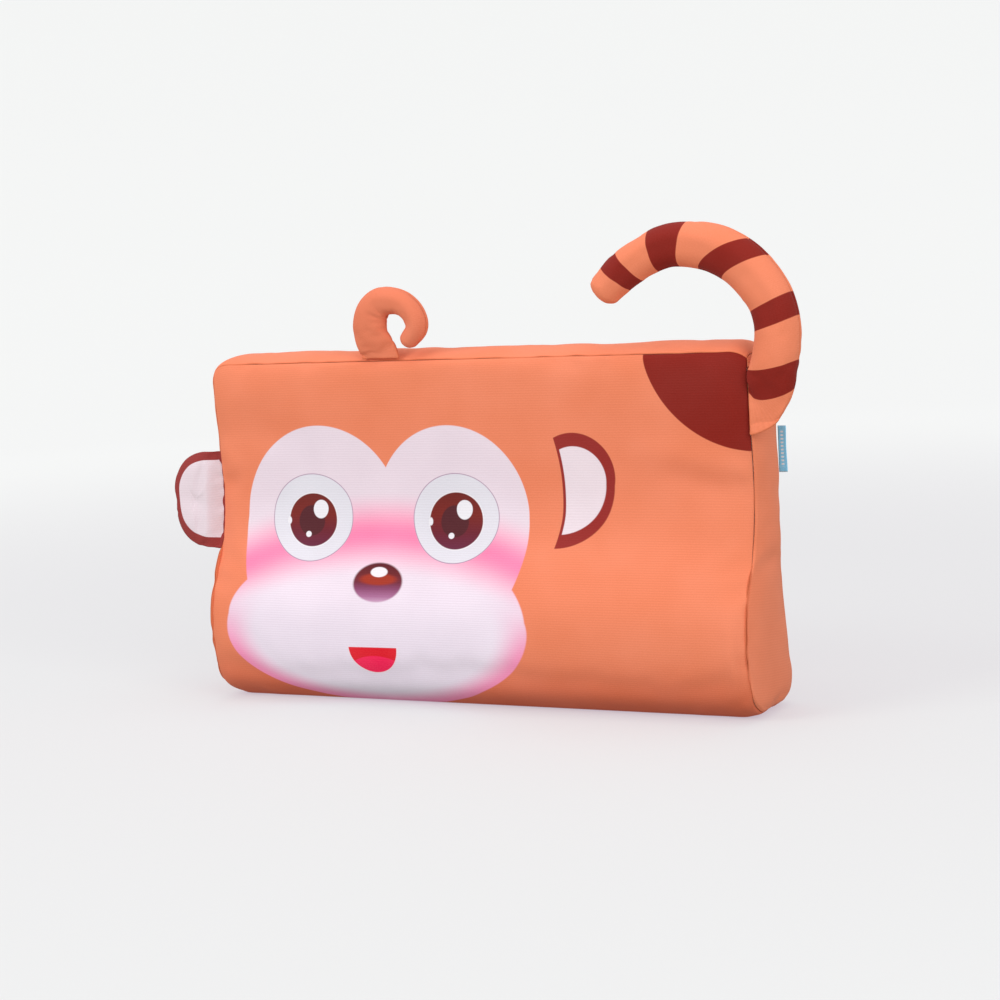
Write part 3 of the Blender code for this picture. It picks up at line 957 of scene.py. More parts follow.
@dataclass(frozen=True)
class WovenFinish:
    """A plain woven cloth or tape."""

    name: str
    colour: Colour
    thread_pitch: float = 0.35 * MM
    roughness: float = 0.75
    sheen: float = 0.08

    def material(self) -> Material:
        """Makes the woven material on Object coordinates.

        Returns:
            The material.
        """
        made, bench, shader = start_material(self.name)
        point = bench.object_point()
        turned = bench.add("ShaderNodeMapping")
        bench.give(turned, Vector=point, Rotation=(math.radians(90), 0.0, 0.0))
        dyed = bench.use(EFFECTS.mottle, Color=linear(self.colour), Point=point, Amount=0.3)
        weave = bench.use(EFFECTS.weave, Point=turned.outputs[0], Thread_Pitch=self.thread_pitch)
        bench.give(shader, Base_Color=dyed.outputs[0], Roughness=self.roughness,
                   Sheen_Weight=self.sheen)
        bench.emboss(shader, weave.outputs["Height"], self.thread_pitch * 0.4, 0.6)
        return made


@dataclass(frozen=True)
class TagFinish:
    """A woven tag with pale edge threads and a row of small pale dashes down its middle."""

    name: str = "Woven tag"
    colour: Colour = (132, 212, 250)
    thread: Colour = (236, 244, 248)
    width: float = 38 * MM
    half_fold: float = 6.6 * MM
    dash_pitch: float = 2.9 * MM

    def material(self) -> Material:
        """Makes the tag's material on its cloth map.

        Returns:
            The material.
        """
        made, bench, shader = start_material(self.name)
        cloth = bench.place("cloth")
        across, along, _ = bench.axes(cloth)
        middle = bench.math("ABSOLUTE", bench.math("SUBTRACT", across, self.half_fold))
        off_line = bench.math("ABSOLUTE", bench.math("SUBTRACT", middle, self.half_fold * 0.5))
        row = bench.fade(off_line, 1.25 * MM, 1.0 * MM)
        beat = bench.math("SINE", bench.math("MULTIPLY", along, 2 * math.pi / self.dash_pitch))
        dash = bench.math("MULTIPLY", row, bench.fade(beat, -0.1, 0.25))
        inner = bench.math("SUBTRACT", self.width / 2, bench.math("ABSOLUTE", bench.math(
            "SUBTRACT", along, self.width / 2)))
        dash = bench.math("MULTIPLY", dash, bench.fade(inner, 4.0 * MM, 4.3 * MM))
        edge = bench.fade(inner, 0.9 * MM, 0.6 * MM)
        colour = bench.over(bench.math("MAXIMUM", bench.math("MULTIPLY", dash, 0.9),
                                       bench.math("MULTIPLY", edge, 0.35)),
                            linear(self.colour), linear(self.thread))
        dyed = bench.use(EFFECTS.mottle, Color=colour, Point=cloth, Amount=0.3)
        weave = bench.use(EFFECTS.weave, Point=cloth, Thread_Pitch=0.3 * MM)
        bench.give(shader, Base_Color=dyed.outputs[0], Roughness=0.6, Sheen_Weight=0.1)
        bench.emboss(shader, weave.outputs["Height"], 0.12 * MM, 0.7)
        return made


@dataclass(frozen=True)
class FoamFinish:
    """Open-celled foam, or a mass of loose fibre when its strands are long."""

    name: str
    colour: Colour
    cell: float = 1.2 * MM
    depth: float = 0.5 * MM

    def material(self) -> Material:
        """Makes the foam's material on Object coordinates.

        Returns:
            The material.
        """
        made, bench, shader = start_material(self.name)
        point = bench.object_point()
        cells = bench.add("ShaderNodeTexVoronoi", feature="DISTANCE_TO_EDGE")
        bench.give(cells, Vector=point, Scale=1 / self.cell)
        wall = bench.fade(cells.outputs["Distance"], 0.0, 0.22)
        dyed = bench.use(EFFECTS.mottle, Color=linear(self.colour), Point=point, Amount=0.25)
        # Painted shade: the inside of each cell, which the relief sinks, is darker than the walls round it.
        shade = tuple(c * 0.72 for c in self.colour)
        bench.give(shader, Base_Color=bench.over(wall, dyed.outputs[0], linear(shade)),
                   Roughness=0.95)
        bench.emboss(shader, wall, self.depth, invert=True)
        return made


@dataclass(frozen=True)
class HardFinish:
    """A small hard part: nickel-plated metal, or moulded zip plastic when it isn't metal."""

    name: str
    colour: Colour
    metal: bool = True
    roughness: float = 0.28

    def material(self) -> Material:
        """Makes the hard part's material on Object coordinates.

        Returns:
            The material.
        """
        made, bench, shader = start_material(self.name)
        point = bench.object_point()
        grain = bench.noise(point, 1800.0, 4.0)
        rubbed = bench.fade(bench.noise(point, 240.0, 3.0), 0.45, 0.75)
        worn = tuple(min(c * 1.15, 255) for c in self.colour)
        bench.give(shader, Base_Color=bench.over(rubbed, linear(self.colour), linear(worn)),
                   Roughness=bench.math("MULTIPLY_ADD", grain, 0.22, self.roughness - 0.08),
                   Metallic=1.0 if self.metal else 0.0)
        bench.emboss(shader, grain, 0.02 * MM, 0.15)
        return made


ORANGE: Colour = (238, 134, 98)
EAR_BROWN: Colour = (150, 56, 54)
PRINTED_FRONT = KnitFinish("Printed knit", ORANGE, MonkeyFace()).material()
ORANGE_KNIT = KnitFinish("Orange knit", ORANGE).material()
STUFFED = KnitFinish("Striped knit", ORANGE, TailPrint(), rib_pitch=1.2 * MM, loop_pitch=0.9 * MM,
                     relief=0.06 * MM, groove=0.06, seam_shade=0.05)
STRIPED_KNIT = STUFFED.material()
CURL_KNIT = replace(STUFFED, name="Curl knit", colour=(230, 127, 94), artwork=Artwork()).material()
EAR_FRONT_KNIT = KnitFinish("Ear print", EAR_BROWN, EarPrint()).material()
EAR_BACK_KNIT = KnitFinish("Ear back knit", EAR_BROWN).material()
LINER_CLOTH = WovenFinish("Liner cloth", (242, 240, 234)).material()
LINER_CLOSURE = WovenFinish("Liner closure", (222, 220, 214), thread_pitch=0.6 * MM).material()
ZIP_TAPE = WovenFinish("Zip tape", (226, 128, 98), thread_pitch=0.5 * MM).material()
THREAD = WovenFinish("Sewing thread", (224, 122, 92), thread_pitch=0.25 * MM).material()
ZIP_COIL = HardFinish("Zip coil", (224, 126, 96), metal=False, roughness=0.42).material()
NICKEL = HardFinish("Nickel plating", (196, 194, 190)).material()
FOAM = FoamFinish("Foam", (244, 238, 212)).material()
FIBRE = FoamFinish("Fibre filling", (246, 246, 244), cell=3.2 * MM, depth=1.2 * MM).material()
WOVEN_TAG = TagFinish().material()


# Sewn skins

@dataclass(frozen=True)
class Fold:
    """A soft ridge, or a crease when its height is below zero, along a line on the cloth."""

    start: Pair
    end: Pair
    width: float
    height: float

    def lift(self, place: np.ndarray) -> np.ndarray:
        """Says how far the fold lifts the cloth.

        Args:
            place: Places on the cloth in millimetres, one row each.

        Returns:
            The lift at each place, in metres.
        """
        start, end = np.array(self.start), np.array(self.end)
        line = end - start
        share = np.clip(((place - start) @ line) / (line @ line), 0, 1)
        off = np.linalg.norm(place - start - share[:, None] * line, axis=1)
        taper = np.sqrt(np.clip(4 * share * (1 - share), 0, 1)) * 0.8 + 0.2
        return self.height * MM * taper * np.exp(-(off / self.width) ** 2)


def lift_of(folds: Iterable[Fold], place: np.ndarray) -> np.ndarray:
    """Returns how far some folds together lift each place, given in millimetres."""
    return sum((fold.lift(place) for fold in folds), np.zeros(len(place)))


@dataclass
class Settling:
    """How a skin is filled: the cloth's slack and how far it may move."""

    start_in: float = 1.2 * MM
    seam_in: float = 0.6 * MM
    most_out: float = 1.0 * MM
    most_in: float = 1.6 * MM
    most_along: float = 1.2 * MM
    pressure: float = 4.0
    slack: float = -0.02
    frames: int = 20


class SewnSkin:
    """A closed skin of several panels, filled by cloth simulation and then cut at its seams.

    Each face has a panel number. Each vertex has its first place, and two lengths along the
    cloth.
    """

    CLOTH = {"quality": 4, "mass": 0.25, "tension_stiffness": 12, "compression_stiffness": 12,
             "shear_stiffness": 5, "bending_stiffness": 0.4, "use_pressure": True}
    TUCK_REACH = 0.9 * MM
    PUCKER_AT = 3 * MM
    PUCKER_SPREAD = 6 * MM
    RIM_PULL = 0.02 * MM

    def __init__(self) -> None:
        """Starts an empty skin."""
        self.bm = bmesh.new()
        self.panel = self.bm.faces.layers.int.new("panel")
        self.home = self.bm.verts.layers.float_vector.new("home")
        self.across = self.bm.verts.layers.float.new("across")
        self.around = self.bm.verts.layers.float.new("around")

    def point(self, place: Sequence[float], across: float, around: float) -> BMVert:
        """Adds a vertex.

        Args:
            place: Where it is.
            across: Its length along the cloth's first way.
            around: Its length along the cloth's second way.

        Returns:
            The vertex.
        """
        vert = self.bm.verts.new(place)
        vert[self.home] = Vector(place)
        vert[self.across], vert[self.around] = across, around
        return vert

    def face(self, corners: Sequence[BMVert], panel: int) -> None:
        """Adds a face, with its vertices in order, to a panel."""
        self.bm.faces.new(corners)[self.panel] = panel

    def close(self) -> None:
        """Turns all faces outwards and numbers the vertices."""
        bmesh.ops.recalc_face_normals(self.bm, faces=self.bm.faces[:])
        self.bm.verts.ensure_lookup_table()
        self.bm.verts.index_update()
        self.bm.normal_update()

    def places(self) -> np.ndarray:
        """Returns the vertices' places, one row each."""
        return np.array([vert.co for vert in self.bm.verts])

    def normals(self) -> np.ndarray:
        """Returns the vertices' outward directions, one row each."""
        self.bm.normal_update()
        return np.array([vert.normal for vert in self.bm.verts])

    def move_to(self, places: np.ndarray) -> None:
        """Moves every vertex to its new place, one row each."""
        for vert, place in zip(self.bm.verts, places):
            vert.co = place

    def on_seam(self) -> np.ndarray:
        """Returns whether each vertex lies where two panels meet."""
        return np.array([len({face[self.panel] for face in vert.link_faces}) > 1
                         for vert in self.bm.verts])

    def settle(self, name: str, how: Settling, held: np.ndarray) -> None:
        """Fills the skin: it starts a little small, and the pressure presses it out.

        Args:
            name: The name of the object while it is simulated.
            how: The filling.
            held: Whether each vertex stays where it is put.
        """
        home, outward = self.places(), self.normals()
        depth = np.where(held, how.seam_in, how.start_in)
        start = home - outward * depth[:, None]
        self.move_to(start)
        mesh = bpy.data.meshes.new(name)
        self.bm.to_mesh(mesh)
        item = add_to_scene(name, mesh)
        pins = item.vertex_groups.new(name="held")
        pins.add([int(i) for i in np.flatnonzero(held)], 1.0, "REPLACE")
        step = item.modifiers.new("Cloth", "CLOTH")
        cloth = step.settings
        for setting, value in self.CLOTH.items():
            setattr(cloth, setting, value)
        cloth.uniform_pressure_force = how.pressure
        cloth.shrink_min = how.slack
        cloth.effector_weights.gravity = 0
        cloth.vertex_group_mass = "held"
        step.collision_settings.use_collision = False
        step.point_cache.frame_start = 1
        step.point_cache.frame_end = how.frames
        scene = bpy.context.scene
        for number in range(1, how.frames + 1):
            scene.frame_set(number)
        shown = item.evaluated_get(bpy.context.evaluated_depsgraph_get())
        filled = shown.to_mesh()
        result = np.empty(len(filled.vertices) * 3)
        filled.vertices.foreach_get("co", result)
        shown.to_mesh_clear()
        bpy.data.objects.remove(item, do_unlink=True)
        bpy.data.meshes.remove(mesh)
        scene.frame_set(1)
        shift = result.reshape(-1, 3) - home
        rise = (shift * outward).sum(1)
        along = shift - outward * rise[:, None]
        rise = np.clip(rise, -how.most_in, how.most_out)
        length = np.linalg.norm(along, axis=1)
        along *= (np.minimum(length, how.most_along) / np.maximum(length, 1e-9))[:, None]
        moved = home + outward * rise[:, None] + along
        self.move_to(np.where(held[:, None], start, moved))

    def smooth(self, rounds: int, held: np.ndarray) -> None:
        """Evens out the free vertices.

        Args:
            rounds: How many times.
            held: Whether each vertex stays.
        """
        free = [vert for vert, stays in zip(self.bm.verts, held) if not stays]
        for _ in range(rounds):
            bmesh.ops.smooth_vert(self.bm, verts=free, factor=0.5, use_axis_x=True,
                                  use_axis_y=True, use_axis_z=True)

    def lift(self, rise: np.ndarray) -> None:
        """Moves every vertex along its outward direction by its own rise."""
        self.move_to(self.places() + self.normals() * rise[:, None])

    def cut(self, name: str, panels: Iterable[int], uv: UvRule = flat_map,
            thickness: float = 0.0, tuck: float = 0.0, pucker: float = 0.0) -> Object:
        """Cuts one piece from the skin and gives its cloth a thickness.

        Args:
            name: The piece's name.
            panels: The numbers of the panels it takes.
            uv: The rule for its cloth map and its print map.
            thickness: The cloth's thickness.
            tuck: How deep its edge is drawn into the seam. A piece that is tucked is seen,
                and gets one level of subdivision.
            pucker: How deep the small puckers along its edge are.

        Returns:
            The piece.
        """
        wanted = set(panels)
        bm = self.bm.copy()
        bm.normal_update()
        panel = bm.faces.layers.int["panel"]
        home = bm.verts.layers.float_vector["home"]
        across, around = bm.verts.layers.float["across"], bm.verts.layers.float["around"]
        out = bm.verts.layers.float_vector.new("outward")
        seam = bm.verts.layers.float.new("seam")
        for vert in bm.verts:
            vert[out] = vert.normal
        gone = [face for face in bm.faces if face[panel] not in wanted]
        bmesh.ops.delete(bm, geom=gone, context="FACES")
        rim = {vert for edge in bm.edges if edge.is_boundary for vert in edge.verts}
        tree = tree_of(vert.co for vert in rim)
        for vert in bm.verts:
            vert[seam] = tree.find(vert.co)[2] if rim else 1.0
        for vert in bm.verts:
            place = Vector(vert[home])
            near = math.exp(-((vert[seam] - self.PUCKER_AT) / self.PUCKER_SPREAD) ** 2)
            wave = noise.noise(place * 95.0) + 0.6 * noise.noise(place * 210.0)
            drawn = tuck * math.exp(-vert[seam] / self.TUCK_REACH)
            vert.co += Vector(vert[out]) * (pucker * near * wave - drawn)
        for vert in rim:
            pull = sum((face.calc_center_median() - vert.co for face in vert.link_faces), Vector())
            vert.co += pull.normalized() * self.RIM_PULL
        cloth_map = bm.loops.layers.uv.new("cloth")
        print_map = bm.loops.layers.uv.new("print")
        for face in bm.faces:
            for loop in face.loops:
                vert = loop.vert
                cloth, printed = uv(vert[home], vert[across], vert[around])
                loop[cloth_map].uv, loop[print_map].uv = cloth, printed
        item = smooth_object(name, bm)
        if thickness:
            thicken(item, thickness, -1.0)
        if tuck:
            finer = item.modifiers.new("Subdivision", "SUBSURF")
            finer.levels = finer.render_levels = 1
        apply_all(item)
        return item


class Panel(Enum):
    """The pillow cover's panels, with their numbers on the skin."""

    FRONT = 0
    BACK = 1
    TOP = 2
    RIGHT_END = 3
    LEFT_END = 4
    ZIP_SLOT = 5


class Run(Enum):
    """The four runs of the pillow's outline, seen from its end."""

    FRONT = 0
    BOTTOM = 1
    BACK = 2
    TOP = 3


@dataclass
class PillowCover:
    """The cover of the contour pillow: a printed front that wraps under the base to the zip,
    a back, a boxing strip on top and two ends. Outline keys are in millimetres."""

    front_keys: tuple[Pair, ...] = (
        (-31, 292.5), (-33.5, 281), (-33, 258), (-30.5, 228), (-28, 190), (-28.5, 165), (-34, 140),
        (-46.5, 113), (-56, 88), (-58.5, 63), (-55.5, 37), (-47, 14.5), (-25, 0))
    back_low_keys: tuple[Pair, ...] = (
        (25, 0), (42, 6.5), (49, 23), (46, 45), (41, 72), (36.5, 95), (34, 115))
    back_high_keys: tuple[Pair, ...] = ((34, 276), (33.2, 286), (30.5, 293.5))
    top_keys: tuple[Pair, ...] = ((30.5, 293.5), (21, 298.6), (0, 300), (-21, 298.6), (-31, 292.5))
    half_length: float = 250 * MM
    end_round: float = 20 * MM
    end_crown: float = 2 * MM
    inset_y: float = 6.5 * MM
    inset_top: float = 20 * MM
    inset_base: float = 9 * MM
    spine: Pair = (40 * MM, 268 * MM)
    end_angles: tuple[float, ...] = (0, 12, 24, 35, 44, 51, 56, 60, 64, 69, 76, 83, 90)
    seam_angle: float = 60.0
    zip_z: float = 130 * MM
    zip_slot_half: float = 7 * MM
    zip_half: float = 200 * MM
    cloth: float = 1.1 * MM
    waviness: float = 0.22 * MM
    print_shift: Pair = (0.8 * MM, -1.2 * MM)
    edge_steps: tuple[float, ...] = (0.0, 1.3 * MM, 3.2 * MM, 5.8 * MM)
    top_shares: tuple[float, ...] = (0, 0.02, 0.05, 0.1, 0.24, 0.41, 0.59, 0.76, 0.9, 0.95, 0.98, 1)
    rows_below_zip: int = 28
    rows_above_zip: int = 31
    length_rings: int = 93
    held_below: float = 0.4 * MM
    lowest: float = 0.15 * MM
    fill_share: float = 0.8
    folds: tuple[Fold, ...] = (
        Fold((150, 214), (244, 196), 13, 1.9), Fold((170, 198), (246, 178), 11, -1.9),
        Fold((190, 160), (247, 152), 14, 1.0), Fold((239, 84), (243, 22), 3.2, -1.9),
        Fold((232, 80), (236, 24), 4.5, 1.1), Fold((228, 12), (246, 20), 3.5, -0.8),
        Fold((-244, 236), (-150, 226), 15, -1.3), Fold((-246, 262), (-170, 268), 12, 0.9),
        Fold((-246, 150), (-232, 60), 12, -1.0), Fold((-120, 284), (20, 288), 8, 0.7),
        Fold((60, 282), (150, 284), 8, -0.6), Fold((-60, 262), (120, 256), 26, -0.8),
        Fold((-247, 190), (-225, 180), 9, -1.2), Fold((-247, 208), (-222, 204), 8, 0.8))

    def lines(self) -> dict[Run, np.ndarray]:
        """Returns each run of the outline as a dense line of (y, z)."""
        bottom = np.array([[self.front_keys[-1][0], 0.0], [self.back_low_keys[0][0], 0.0]]) * MM
        low = smooth_line(self.back_low_keys)
        high = smooth_line(self.back_high_keys)
        return {Run.FRONT: smooth_line(self.front_keys), Run.BOTTOM: bottom,
                Run.BACK: np.concatenate([low, high]), Run.TOP: smooth_line(self.top_keys)}

    def row_distances(self, lines: dict[Run, np.ndarray]) -> dict[Run, np.ndarray]:
        """Chooses the rows along each run: close beside the seams and about 5 mm elsewhere.

        Args:
            lines: The outline's runs.

        Returns:
            The distances of the rows along each run.
        """
        edge = np.array(self.edge_steps)
        length = {run: distances_of(line)[-1] for run, line in lines.items()}
        low_length = distances_of(smooth_line(self.back_low_keys))[-1]
        flat_start = low_length - self.back_low_keys[-1][1] * MM
        stops = [flat_start + self.zip_z + k * self.zip_slot_half for k in (-1, 0, 1)]
        back = np.concatenate([
            np.linspace(0, stops[0], self.rows_below_zip),
            [(stops[0] + stops[1]) / 2, stops[1], (stops[1] + stops[2]) / 2, stops[2]],
            np.linspace(stops[2], length[Run.BACK] - edge[-1], self.rows_above_zip)[1:],
            length[Run.BACK] - edge[-2::-1]])
        count = len(back) - 1
        front = np.concatenate([edge, np.linspace(edge[-1], length[Run.FRONT], count - 2)[1:]])
        top = np.array(self.top_shares)
        bottom = np.linspace(0, length[Run.BOTTOM], len(top))
        return {Run.FRONT: front, Run.BOTTOM: bottom, Run.BACK: back,
                Run.TOP: top * length[Run.TOP]}

    def rounded(self, loop: np.ndarray, middles: np.ndarray, angle: float) -> np.ndarray:
        """Draws an outline in, as far as the end's rounding does at an angle.

        Args:
            loop: The outline's points.
            middles: The middle of the pillow's thickness at each point's height.
            angle: The rounding's angle in degrees, from 0 at the side to 90 at the end.

        Returns:
            The moved points.
        """
        target = np.stack([middles, np.clip(loop[:, 1], *self.spine)], axis=1)
        inward = target - loop
        inward /= np.maximum(np.linalg.norm(inward, axis=1), 1e-9)[:, None]
        amount = 1 - math.cos(math.radians(angle))
        inset_z = np.where(loop[:, 1] > self.spine[0], self.inset_top, self.inset_base)
        inset_y = np.full(len(loop), self.inset_y)
        return loop + inward * np.stack([inset_y, inset_z], axis=1) * amount

    def stations(self) -> list[tuple[float, float, float]]:
        """Returns the rings along the length as (x, angle, length along the cloth)."""
        start = self.half_length - self.end_round
        right = [(start + self.end_round * math.sin(math.radians(a)), a,
                  start + self.end_round * math.radians(a)) for a in self.end_angles]
        left = [(-x, a, -u) for x, a, u in reversed(right)]
        middle = [(x, 0.0, x) for x in np.linspace(-start, start, self.length_rings)[1:-1]]
        return left + middle + right

    def panel_of(self, reach: Pair, angle: float, run: Run, level: float) -> Panel:
        """Names the panel of one patch of skin.

        Args:
            reach: Its extent along X.
            angle: How far it is into the end's rounding.
            run: The outline's run it is on.
            level: Its height.

        Returns:
            The panel.
        """
        if angle > self.seam_angle:
            return Panel.RIGHT_END if reach[0] > 0 else Panel.LEFT_END
        if run is Run.TOP:
            return Panel.TOP
        in_slot = abs(level - self.zip_z) < self.zip_slot_half
        if run is Run.BACK and in_slot and max(map(abs, reach)) <= self.zip_half + 0.1 * MM:
            return Panel.ZIP_SLOT
        return Panel.BACK if run is Run.BACK and level > self.zip_z else Panel.FRONT

    def skin(self) -> SewnSkin:
        """Builds the pillow's closed skin.

        Returns:
            The skin, before it is filled.
        """
        lines = self.lines()
        rows = self.row_distances(lines)
        runs = {run: points_at(lines[run], rows[run]) for run in Run}
        loop = np.concatenate([runs[run][:-1] for run in Run])
        names = [run for run in Run for _ in rows[run][:-1]]
        around, total = [], 0.0
        for run in Run:
            around += list(total + rows[run][:-1])
            total += rows[run][-1]
        front, back = lines[Run.FRONT], lines[Run.BACK]
        middles = 0.5 * (np.interp(loop[:, 1], front[::-1, 1], front[::-1, 0])
                         + np.interp(loop[:, 1], back[:, 1], back[:, 0]))
        middles[[run in (Run.TOP, Run.BOTTOM) for run in names]] = 0.0
        skin = SewnSkin()
        rings = []
        places = self.stations()
        for x, angle, across in places:
            points = self.rounded(loop, middles, angle)
            rings.append([skin.point((x, y, z), across, length)
                          for (y, z), length in zip(points, around)])
        count = len(loop)
        for k in range(len(rings) - 1):
            angle = max(places[k][1], places[k + 1][1])
            reach = (places[k][0], places[k + 1][0])
            for j in range(count):
                n = (j + 1) % count
                level = (loop[j][1] + loop[n][1]) / 2
                skin.face((rings[k][j], rings[k][n], rings[k + 1][n], rings[k + 1][j]),
                          self.panel_of(reach, angle, names[j], level).value)
        self.close_end(skin, rings[0], rows, Panel.LEFT_END, -1)
        self.close_end(skin, rings[-1], rows, Panel.RIGHT_END, 1)
        skin.close()
        return skin

    def close_end(self, skin: SewnSkin, ring: list[BMVert], rows: dict[Run, np.ndarray],
                  panel: Panel, sign: int) -> None:
        """Closes one end with a crowned grid inside its last ring.

        Args:
            skin: The skin.
            ring: The end's last ring.
            rows: The row distances of each run.
            panel: The end's panel.
            sign: Which end, -1 or 1.
        """
        edges, start = [], 0
        for run in Run:
            edges.append([ring[(start + i) % len(ring)] for i in range(len(rows[run]))])
            start += len(rows[run]) - 1
        front, bottom, back, top = edges[0], edges[1], edges[2][::-1], edges[3][::-1]
        shares_v = rows[Run.FRONT] / rows[Run.FRONT][-1]
        shares_u = rows[Run.BOTTOM] / rows[Run.BOTTOM][-1]
        grid = [front]
        for j in range(1, len(bottom) - 1):
            u, line = shares_u[j], [top[j]]
            for i in range(1, len(front) - 1):
                v = shares_v[i]
                across = front[i].co * (1 - u) + back[i].co * u
                along = top[j].co * (1 - v) + bottom[j].co * v
                corners = ((front[0].co * (1 - u) + back[0].co * u) * (1 - v)
                           + (front[-1].co * (1 - u) + back[-1].co * u) * v)
                place = across + along - corners
                bulge = math.sqrt(16 * u * (1 - u) * v * (1 - v))
                place.x = sign * (self.half_length + self.end_crown * bulge)
                line.append(skin.point(place, 0.0, 0.0))
            grid.append(line + [bottom[j]])
        grid.append(back)
        for left, right in zip(grid, grid[1:]):
            for i in range(len(front) - 1):
                skin.face((left[i], right[i], right[i + 1], left[i + 1]), panel.value)

    def fill(self, skin: SewnSkin) -> None:
        """Fills the cover with its foam and lays its soft folds.

        Args:
            skin: The skin, which is changed.
        """
        home = skin.places()
        seams = skin.on_seam()
        held = seams | (home[:, 2] < self.held_below)
        skin.settle("cover_filling", Settling(), held)
        skin.smooth(2, held)
        place = home[:, [0, 2]] / MM
        facing = np.clip(-skin.normals()[:, 1] * 2, 0, 1)
        rise = lift_of(self.folds, place) * facing
        waves = np.array([noise.noise(Vector((x * 9, y * 9, z * 14))) for x, y, z in home])
        low_part = np.clip(home[:, 2] / (30 * MM), 0, 1)
        calm = np.clip((280 * MM - home[:, 2]) / (40 * MM), 0.2, 1) * np.clip(
            1.2 - np.abs(skin.normals()[:, 0]), 0.2, 1)
        rise += waves * self.waviness * low_part * calm
        rise[held] = 0.0
        skin.lift(rise)
        settled = skin.places()
        settled[:, 2] = np.maximum(settled[:, 2], self.lowest)
        skin.move_to(settled)

    def uv_rules(self) -> dict[Panel, UvRule]:
        """Returns the rule for each panel's cloth map and print map."""
        rows = {run: distances_of(line)[-1] for run, line in self.lines().items()}
        front_length, total = rows[Run.FRONT], sum(rows.values())

        def front(home: Vector, across: float, around: float) -> tuple[Pair, Pair]:
            """Lays the front's maps out, down the front and on under the base."""
            height = home.z if around <= front_length + 1e-5 else front_length - around
            return (across, -around), (across - self.print_shift[0], height - self.print_shift[1])

        def back(home: Vector, across: float, around: float) -> tuple[Pair, Pair]:
            """Lays the back's maps out as seen from behind."""
            return (-across, home.z), (-across, home.z)

        def top(home: Vector, across: float, around: float) -> tuple[Pair, Pair]:
            """Lays the top strip's maps out; its last row closes the loop."""
            length = around if around > front_length / 2 else total
            return (across, length), (across, length)

        def end(home: Vector, across: float, around: float) -> tuple[Pair, Pair]:
            """Lays an end's maps out, with the ribs a little slanted."""
            return (home.y, home.z + 0.12 * home.y), (home.y, home.z)

        return {Panel.FRONT: front, Panel.BACK: back, Panel.TOP: top,
                Panel.RIGHT_END: end, Panel.LEFT_END: end}

    def build(self) -> dict[Panel, Object]:
        """Returns:
            The pieces by panel.
        """
        skin = self.skin()
        self.fill(skin)
        made = {}
        rules = self.uv_rules()
        nodes = {Panel.FRONT: "front_panel", Panel.BACK: "back_panel", Panel.TOP: "top_strip",
                 Panel.RIGHT_END: "right_end_panel", Panel.LEFT_END: "left_end_panel"}
        for panel, node in nodes.items():
            name = node.replace("_panel", "") + "_cover"
            piece = skin.cut(name, [panel.value], rules[panel], self.cloth, tuck=1.0 * MM,
                             pucker=0.12 * MM)
            printed = panel is Panel.FRONT
            declare(piece, PRINTED_FRONT if printed else ORANGE_KNIT,
                    node)
            made[panel] = piece
        return made


@dataclass
class PillowInside:
    """The foam block and the liner around it, which the cover hides."""

    cover: PillowCover
    liner_depth: float = 3.4 * MM
    liner_cloth: float = 0.6 * MM
    foam_depth: float = 4.4 * MM

    def at_depth(self, depth: float) -> SewnSkin:
        """Builds the pillow's skin, drawn in.

        Args:
            depth: How far.

        Returns:
            The skin.
        """
        skin = self.cover.skin()
        skin.lift(np.full(len(skin.bm.verts), -depth))
        return skin

    def build(self) -> None:
        everything = [panel.value for panel in Panel]
        slot = Panel.ZIP_SLOT.value
        bag = [number for number in everything if number != slot]
        liner, foam = self.at_depth(self.liner_depth), self.at_depth(self.foam_depth)
        for skin, name, panels, node, finish, thickness, slot_name, fill in (
                (liner, "liner_bag", bag, "inner_liner", LINER_CLOTH, self.liner_cloth,
                 "liner_cloth", self.cover.fill_share),
                (liner, "liner_closure", [slot], "liner_zip", LINER_CLOSURE, self.liner_cloth,
                 "liner_cloth", self.cover.fill_share),
                (foam, "foam_block", everything, "foam_core", FOAM, 0.0, "foam", 1.0)):
            piece = skin.cut(name, panels, thickness=thickness)
            declare(piece, finish, node)


class Half(Enum):
    """The parts of a stuffed tube's skin, with their numbers."""

    ROOT = 0
    FRONT = 1
    BACK = 2


